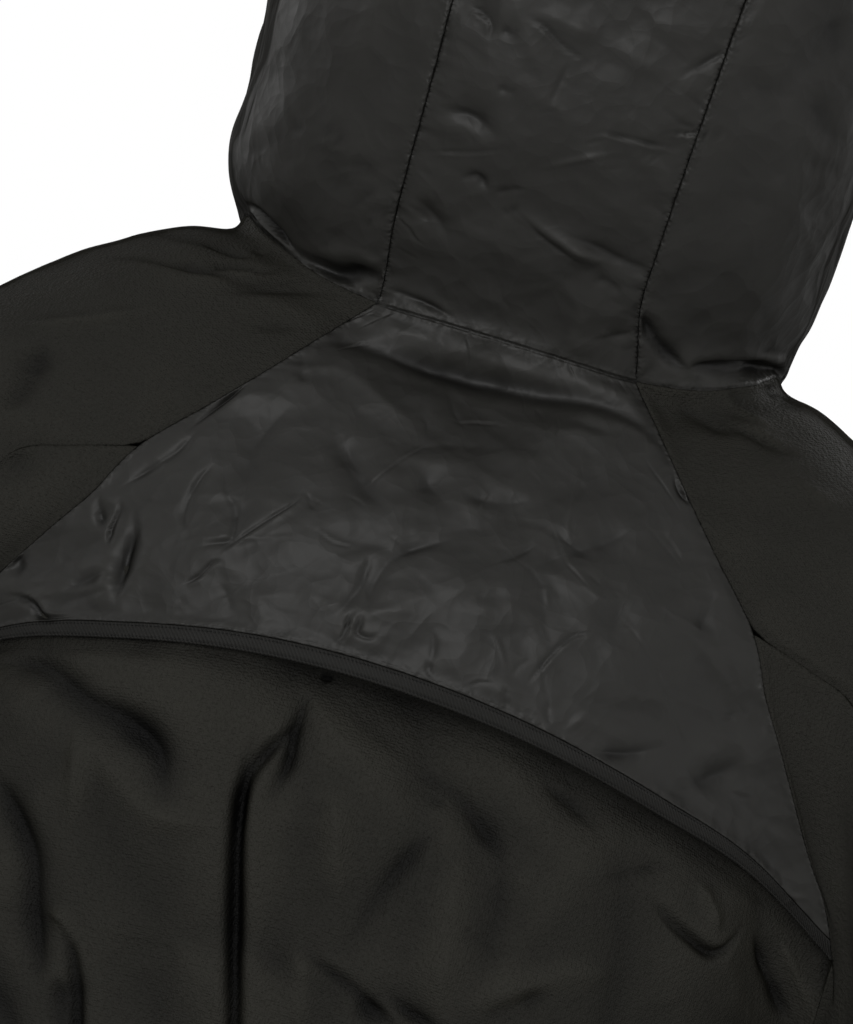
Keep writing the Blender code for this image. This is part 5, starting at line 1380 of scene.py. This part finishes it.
SLEEVE_DRAPE = (
    # as SLEEVE_CREASES, down both sleeves seen from behind
    ("trough", 2.0, 7.0, ((222, -96), (206, -120), (206, -150))),
    ("trough", 3.0, 9.0, ((214, -210), (244, -226), (286, -214))),
    ("lip", 3.4, 6.0, ((290, -262), (256, -276), (222, -262))),
    ("trough", 5.0, 11.0, ((214, -300), (262, -318), (318, -296))),
    ("ridge", 3.0, 8.0, ((230, -340), (274, -352), (326, -334))),
    ("trough", 4.4, 10.0, ((240, -362), (286, -378), (338, -360))),
    ("trough", 5.5, 11.0, ((252, -404), (300, -420), (352, -398))),
    ("lip", 3.6, 6.0, ((356, -428), (312, -442), (264, -432))),
    ("trough", 5.0, 10.0, ((268, -458), (312, -470), (366, -450))),
    ("trough", 4.0, 9.0, ((284, -492), (326, -500), (372, -482))),
    ("lip", 2.6, 5.0, ((380, -524), (334, -532), (292, -526))),
    ("trough", 3.6, 9.0, ((298, -556), (340, -562), (388, -552))),
    ("trough", 2.4, 6.0, ((318, -606), (352, -612), (390, -600))),
    ("trough", 3.0, 9.0, ((-214, -212), (-246, -232), (-286, -226))),
    ("trough", 2.2, 8.0, ((-158, -36), (-184, -62), (-214, -84))),
    ("lip", 3.0, 6.0, ((-226, -250), (-258, -270), (-296, -262))),
    ("trough", 5.0, 11.0, ((-222, -330), (-268, -340), (-324, -318))),
    ("trough", 3.6, 9.0, ((-236, -296), (-280, -306), (-316, -290))),
    ("ridge", 3.0, 8.0, ((-234, -366), (-286, -376), (-334, -360))),
    ("lip", 3.4, 6.0, ((-248, -394), (-300, -408), (-346, -392))),
    ("trough", 5.5, 12.0, ((-256, -432), (-306, -440), (-360, -424))),
    ("trough", 5.0, 10.0, ((-276, -486), (-322, -482), (-372, -498))),
    ("lip", 2.8, 5.5, ((-288, -520), (-330, -534), (-374, -528))),
    ("trough", 3.6, 9.0, ((-300, -566), (-342, -560), (-386, -572))),
    ("trough", 2.4, 6.0, ((-316, -612), (-350, -606), (-392, -616))),
)
SLEEVE_FRONT = (
    # as SLEEVE_CREASES, seen from the front
    ("trough", 2.4, 8.0, ((150, -60), (170, -84), (182, -116))),
    ("trough", 2.4, 8.0, ((-146, -56), (-172, -80), (-196, -104))),
    ("lip", 3.0, 6.0, ((214, -240), (246, -236), (282, -222))),
    ("trough", 4.6, 11.0, ((220, -306), (262, -292), (314, -300))),
    ("trough", 4.0, 10.0, ((236, -350), (280, -336), (330, -346))),
    ("trough", 5.5, 12.0, ((250, -402), (300, -386), (352, -398))),
    ("trough", 5.5, 11.0, ((268, -454), (312, -436), (366, -444))),
    ("lip", 3.2, 6.0, ((282, -494), (324, -478), (370, -484))),
    ("trough", 3.6, 9.0, ((296, -548), (338, -530), (382, -540))),
    ("trough", 2.6, 7.0, ((314, -596), (350, -584), (390, -590))),
    ("lip", 3.0, 6.0, ((-282, -226), (-250, -238), (-218, -236))),
    ("trough", 4.6, 12.0, ((-224, -328), (-268, -312), (-324, -320))),
    ("trough", 3.6, 9.0, ((-236, -372), (-284, -352), (-334, -362))),
    ("trough", 5.5, 12.0, ((-256, -430), (-306, -412), (-360, -420))),
    ("lip", 3.4, 6.0, ((-364, -462), (-318, -452), (-272, -470))),
    ("trough", 4.2, 10.0, ((-286, -514), (-328, -494), (-376, -502))),
    ("trough", 3.0, 8.0, ((-304, -570), (-344, -552), (-388, -560))),
)

sleeve_creases = (crease_paths(SLEEVE_CREASES) + crease_paths(SLEEVE_DRAPE) +
                  crease_paths(SLEEVE_FRONT, -1))
seam_back = sleeve_seam("back", 1, raglan["back_middle"][0])
seam_front = sleeve_seam("front", -1, raglan["front_lower"][0])
upper_cuff = cuff_arc(seam_back[-1], seam_front[-1], NECK_STEPS["side"] * FINE, 0.0)
upper_grid = panel(neck["side"], upper_cuff, joined(raglan["back_upper"], seam_back),
                   joined(raglan["front_upper"], seam_front),
                   lambda p: to_sleeve(p, -math.pi), from_sleeve)
armhole = joined(raglan["back_middle"], raglan["back_binding"], raglan["back_lower"],
                 raglan["front_lower"][::-1])
under_cuff = cuff_arc(seam_back[-1], seam_front[-1], len(armhole) - 1, math.pi)
under_grid = panel(armhole, under_cuff, seam_back, seam_front, lambda p: to_sleeve(p, 0.0), from_sleeve,
                   UNDER_ROUNDS)
SLEEVE_CRUSH = ((3.6, 55, 20, 1.8, 3), (1.5, 24, -30, 1.8, 2), (0.4, 9, 30, 2.0, 1))
sleeves = []
for wearer, flip in WEARER_SIDES:
    for (part, counts, cut, area), grid in zip(SLEEVE_CUTS, (upper_grid, under_grid)):
        piece = dressed(f"sleeve_{part}_cloth_{wearer}", grid * flip, counts,
                        ("sewn", "turned", "tight", "tight"), sleeve_creases, [matte, lining],
                        pucker=0.35, pucker_reach=8, crumples=SLEEVE_CRUSH, crowd=0.8, painted_fold_shading=(9, 2.2))
        sleeves.append(piece)
        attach(piece["object"], "jacket")
        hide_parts(f"sleeve_{part}_{wearer}")

# ---------------------------------------------------------------------------
# Fronts
# Matte padded cloth from the neck to the hem, sewn to the zip tape.
front_side = joined(raglan["front_upper"], raglan["front_lower"], side)
front_z = np.linspace(neck["front"][-1, 2], HEM_Z, len(front_side))
front_edge = face_on(np.stack([np.full(len(front_z), ZIP_EDGE), front_z], axis=1), -1)
front_edge[0] = neck["front"][-1]
front_hem = hem_arc(side[-1], front_edge[-1], -1, HEM_BULGE["front"], NECK_STEPS["front"] * FINE)
front_grid = panel(neck["front"], front_hem, front_side, front_edge)

FRONT_CREASES = (
    # as CAPE_CREASES, seen from the front
    ("trough", 2.8, 8.0, ((52, -76), (66, -104), (92, -128))),
    ("trough", 2.6, 8.0, ((-48, -78), (-70, -100), (-90, -134))),
    ("lip", 3.0, 6.0, ((36, -128), (62, -152), (108, -166))),
    ("trough", 3.6, 11.0, ((-24, -150), (-62, -176), (-116, -182))),
    ("trough", 4.0, 12.0, ((166, -228), (124, -232), (70, -214))),
    ("lip", 3.8, 6.5, ((-176, -236), (-140, -250), (-96, -244))),
    ("trough", 6.0, 14.0, ((178, -268), (132, -302), (78, -312))),
    ("trough", 5.5, 13.0, ((-176, -262), (-124, -290), (-80, -330))),
    ("ridge", 3.0, 12.0, ((150, -326), (104, -350), (52, -352))),
    ("trough", 5.0, 17.0, ((176, -352), (120, -392), (50, -402))),
    ("trough", 6.0, 16.0, ((-180, -372), (-110, -402), (-44, -392))),
    ("lip", 3.4, 6.5, ((-168, -420), (-120, -436), (-66, -430))),
    ("trough", 3.0, 8.0, ((20, -260), (50, -272), (84, -266))),
    ("trough", 2.6, 7.0, ((-18, -300), (-44, -316), (-70, -312))),
    ("trough", 5.0, 17.0, ((168, -462), (90, -494), (30, -484))),
    ("trough", 4.5, 18.0, ((-150, -500), (-84, -520), (-30, -508))),
    ("lip", 3.0, 6.0, ((16, -440), (48, -450), (96, -440))),
    ("trough", 5.5, 16.0, ((108, -560), (112, -690))),
    ("ridge", 2.6, 13.0, ((60, -580), (56, -690))),
    ("trough", 5.5, 17.0, ((-72, -580), (-78, -690))),
    ("trough", 3.0, 8.0, ((-140, -600), (-146, -690))),
)

front_creases = crease_paths(FRONT_CREASES, -1)
fronts = []
for wearer, flip in WEARER_SIDES:
    piece = dressed("front_cloth_" + wearer, front_grid * flip, (170, 80),
                    ("sewn", "turned", "sewn", "tight"), front_creases, [matte, lining],
                    pucker=0.25, crumples=MATTE_CRUSH, painted_fold_shading=(8, 2.6))
    fronts.append(piece)
    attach(piece["object"], "jacket")
    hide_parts("front_" + wearer)

# ---------------------------------------------------------------------------
# Stitching
# Rows of thread on the binding, the hood's centre seams, the face edge, the
# cuffs and the hem.  Each stitch is a small rounded length of thread.
THREAD = 0.42 * MM
STITCH_LENGTH = 1.9 * MM
STITCH_PITCH = 2.4 * MM
HEM_ROW = 9.0 * MM            # from the edge
FACE_ROW = 6.5 * MM
CUFF_ROW = 8.0 * MM
SEAM_SINK = 1.35 * MM         # the hood seams' thread lies this deep


def repeater(name, finish):
    """Node tool: one rounded piece of the given size at each step along every line of a mesh."""
    tool = bpy.data.node_groups.new(name, "GeometryNodeTree")
    tool.is_modifier = True
    tool.interface.new_socket("Lines", in_out="INPUT", socket_type="NodeSocketGeometry")
    sockets = {}
    for label, kind in (("Pitch", "NodeSocketFloat"), ("Size", "NodeSocketVector")):
        sockets[label] = tool.interface.new_socket(label, in_out="INPUT", socket_type=kind).identifier
    tool.interface.new_socket("Pieces", in_out="OUTPUT", socket_type="NodeSocketGeometry")
    nodes, links = tool.nodes, tool.links
    given = added(nodes, "NodeGroupInput")
    made = added(nodes, "NodeGroupOutput")
    curve = added(nodes, "GeometryNodeMeshToCurve")
    steps = added(nodes, "GeometryNodeResampleCurve", mode="LENGTH")
    bead = added(nodes, "GeometryNodeMeshUVSphere", {"Segments": 6, "Rings": 4, "Radius": 0.5})
    tangent = added(nodes, "GeometryNodeInputTangent")
    turn = added(nodes, "FunctionNodeAlignRotationToVector", axis="Z")
    place = added(nodes, "GeometryNodeInstanceOnPoints")
    real = added(nodes, "GeometryNodeRealizeInstances")
    colour = added(nodes, "GeometryNodeSetMaterial", {"Material": finish})
    links.new(given.outputs["Lines"], curve.inputs["Mesh"])
    links.new(curve.outputs["Curve"], steps.inputs["Curve"])
    links.new(given.outputs["Pitch"], steps.inputs["Length"])
    links.new(tangent.outputs["Tangent"], turn.inputs["Vector"])
    links.new(steps.outputs["Curve"], place.inputs["Points"])
    links.new(bead.outputs["Mesh"], place.inputs["Instance"])
    links.new(turn.outputs["Rotation"], place.inputs["Rotation"])
    links.new(given.outputs["Size"], place.inputs["Scale"])
    links.new(place.outputs["Instances"], real.inputs["Geometry"])
    links.new(real.outputs["Geometry"], colour.inputs["Geometry"])
    links.new(colour.outputs["Geometry"], made.inputs["Pieces"])
    return tool, sockets


def repeated(name, lines, tool, sockets, pitch, size):
    """Pieces at even steps along lines of points, as one plain mesh."""
    mesh = bpy.data.meshes.new(name + "_lines")
    starts = np.cumsum([0] + [len(line) for line in lines])
    edges = [(k, k + 1) for a, b in zip(starts[:-1], starts[1:]) for k in range(a, b - 1)]
    mesh.from_pydata(np.concatenate(lines), edges, [])
    obj = bpy.data.objects.new(name, mesh)
    bpy.context.scene.collection.objects.link(obj)
    steps = obj.modifiers.new("pieces", "NODES")
    steps.node_group = tool
    steps[sockets["Pitch"]] = pitch
    steps[sockets["Size"]] = size
    depsgraph = bpy.context.evaluated_depsgraph_get()
    obj.data = bpy.data.meshes.new_from_object(obj.evaluated_get(depsgraph))
    obj.modifiers.clear()
    obj.data.shade_smooth()
    return obj


def row_at(cloth, edge, distance, proud=0.0):
    """Points of a dressed panel at a distance from one of its edges, end to end."""
    field = cloth[edge]
    level = cloth["outer"] + proud * cloth["normal"]
    if edge in ("left", "right"):
        field, level = field.T, level.transpose(1, 0, 2)
    order = slice(None) if edge in ("top", "left") else slice(None, None, -1)
    return np.array([[np.interp(distance, field[order, c], level[order, c, k]) for k in range(3)]
                     for c in range(3, field.shape[1] - 3)])


thread_finish = cloth_finish("thread", (0.006, 0.006, 0.0057), 0.6, 0.15, crinkle=0.03 * MM,
                             crinkle_scale=900.0)
rows = [row_at(binding, "top", distance, 0.1 * MM) for distance in BINDING_STITCHES]
seam_thread = leaned(crown_seam - SEAM_SINK * unit(slope(crown_seam)))
rows += [seam_thread, leaned(mirrored(crown_seam) - SEAM_SINK * unit(slope(mirrored(crown_seam))))]
rows += [row_at(lower_back, "bottom", HEM_ROW), row_at(hood_centre, "bottom", FACE_ROW)]
rows += [row_at(piece, "bottom", FACE_ROW) for piece in hood_sides]
rows += [row_at(piece, "bottom", CUFF_ROW) for piece in sleeves]
rows += [row_at(piece, "bottom", HEM_ROW) for piece in fronts]
stitch_tool, stitch_sockets = repeater("stitch_rows", thread_finish)
stitches = repeated("stitches", rows, stitch_tool, stitch_sockets, STITCH_PITCH,
                    (THREAD, THREAD, STITCH_LENGTH))
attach(stitches, "jacket")

# ---------------------------------------------------------------------------
# Zip
# Two woven tapes sewn behind the edges of the fronts and the hood, and a
# moulded coil between them.  The slider sits at the chin with its pull hanging.
TAPE_INNER = 0.15 * MM    # the tapes pass behind the coil and nearly meet
TAPE_SHORT = 0.2 * MM     # and stop this short of the cloth's edge
TAPE_SINK = 1.2 * MM
TAPE_WALL = 1.2 * MM
COIL_PITCH = 1.5 * MM
COIL_BAR = (4.0 * MM, 2.4 * MM, 1.15 * MM)    # across, deep, along the zip
COIL_SINK = 0.7 * MM
COIL_TOP = 14.0 * MM                          # the coil is hidden by the slider above this
tape_finish = cloth_finish("zip_tape", (0.0075, 0.0075, 0.0072), 0.75, 0.12, pitch=0.9 * MM,
                           relief=0.10 * MM, crinkle=0.05 * MM, crinkle_scale=500.0)
coil_finish = cloth_finish("zip_coil", (0.006, 0.006, 0.006), 0.35, 0.4, crinkle=0.02 * MM,
                           crinkle_scale=200.0)
zip_line = joined(collar[::-1], front_edge)
for wearer, flip in WEARER_SIDES:
    strip = np.repeat(zip_line[:, None], 2, axis=1)
    strip[:, 0, 0], strip[:, 1, 0] = TAPE_INNER, ZIP_EDGE - TAPE_SHORT
    tape = dressed("zip_tape_cloth_" + wearer, strip * flip, (500, 8), ("under",) * 4, (),
                   [tape_finish, tape_finish], pucker=0, lift=-TAPE_SINK, wall=TAPE_WALL)
    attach(tape["object"], "jacket")
    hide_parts("zip_tape_" + wearer)

coil_line = zip_line[::-1] * (0, 1, 1)
coil_line = coil_line[coil_line[:, 2] < coil_line[:, 2].max() - COIL_TOP]
coil_line = coil_line - COIL_SINK * unit(slope(coil_line))
coil_tool, coil_sockets = repeater("zip_coil_bars", coil_finish)
coil = repeated("zip_coil", [coil_line], coil_tool, coil_sockets, COIL_PITCH, COIL_BAR)
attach(coil, "jacket")
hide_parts("zip_chain")


def painted_metal(name):
    """Dark paint on cast zinc: smooth, a little uneven in gloss, worn bright at its edges."""
    mat = bpy.data.materials.new(name)
    mat.use_nodes = True
    nodes, links = mat.node_tree.nodes, mat.node_tree.links
    shader = nodes["Principled BSDF"]
    shader.inputs["Metallic"].default_value = 0.75
    place = added(nodes, "ShaderNodeTexCoord")
    grain = added(nodes, "ShaderNodeTexNoise", {"Scale": 600.0, "Detail": 6.0})
    gloss = added(nodes, "ShaderNodeMapRange", {"To Min": 0.26, "To Max": 0.46})
    edge = added(nodes, "ShaderNodeNewGeometry")
    worn = added(nodes, "ShaderNodeMapRange", {"From Min": 0.52, "From Max": 0.60})
    paint = added(nodes, "ShaderNodeMix", data_type="RGBA")
    paint.inputs["A"].default_value = (0.020, 0.020, 0.021, 1)
    paint.inputs["B"].default_value = (0.090, 0.088, 0.084, 1)
    links.new(place.outputs["Object"], grain.inputs["Vector"])
    links.new(grain.outputs["Fac"], gloss.inputs["Value"])
    links.new(gloss.outputs["Result"], shader.inputs["Roughness"])
    links.new(edge.outputs["Pointiness"], worn.inputs["Value"])
    links.new(worn.outputs["Result"], paint.inputs["Factor"])
    links.new(paint.outputs["Result"], shader.inputs["Base Color"])
    return mat


dark_zinc = painted_metal("dark_zinc")
for name in ("zip_slider", "zip_pull"):
    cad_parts[name].material_slots[0].material = dark_zinc
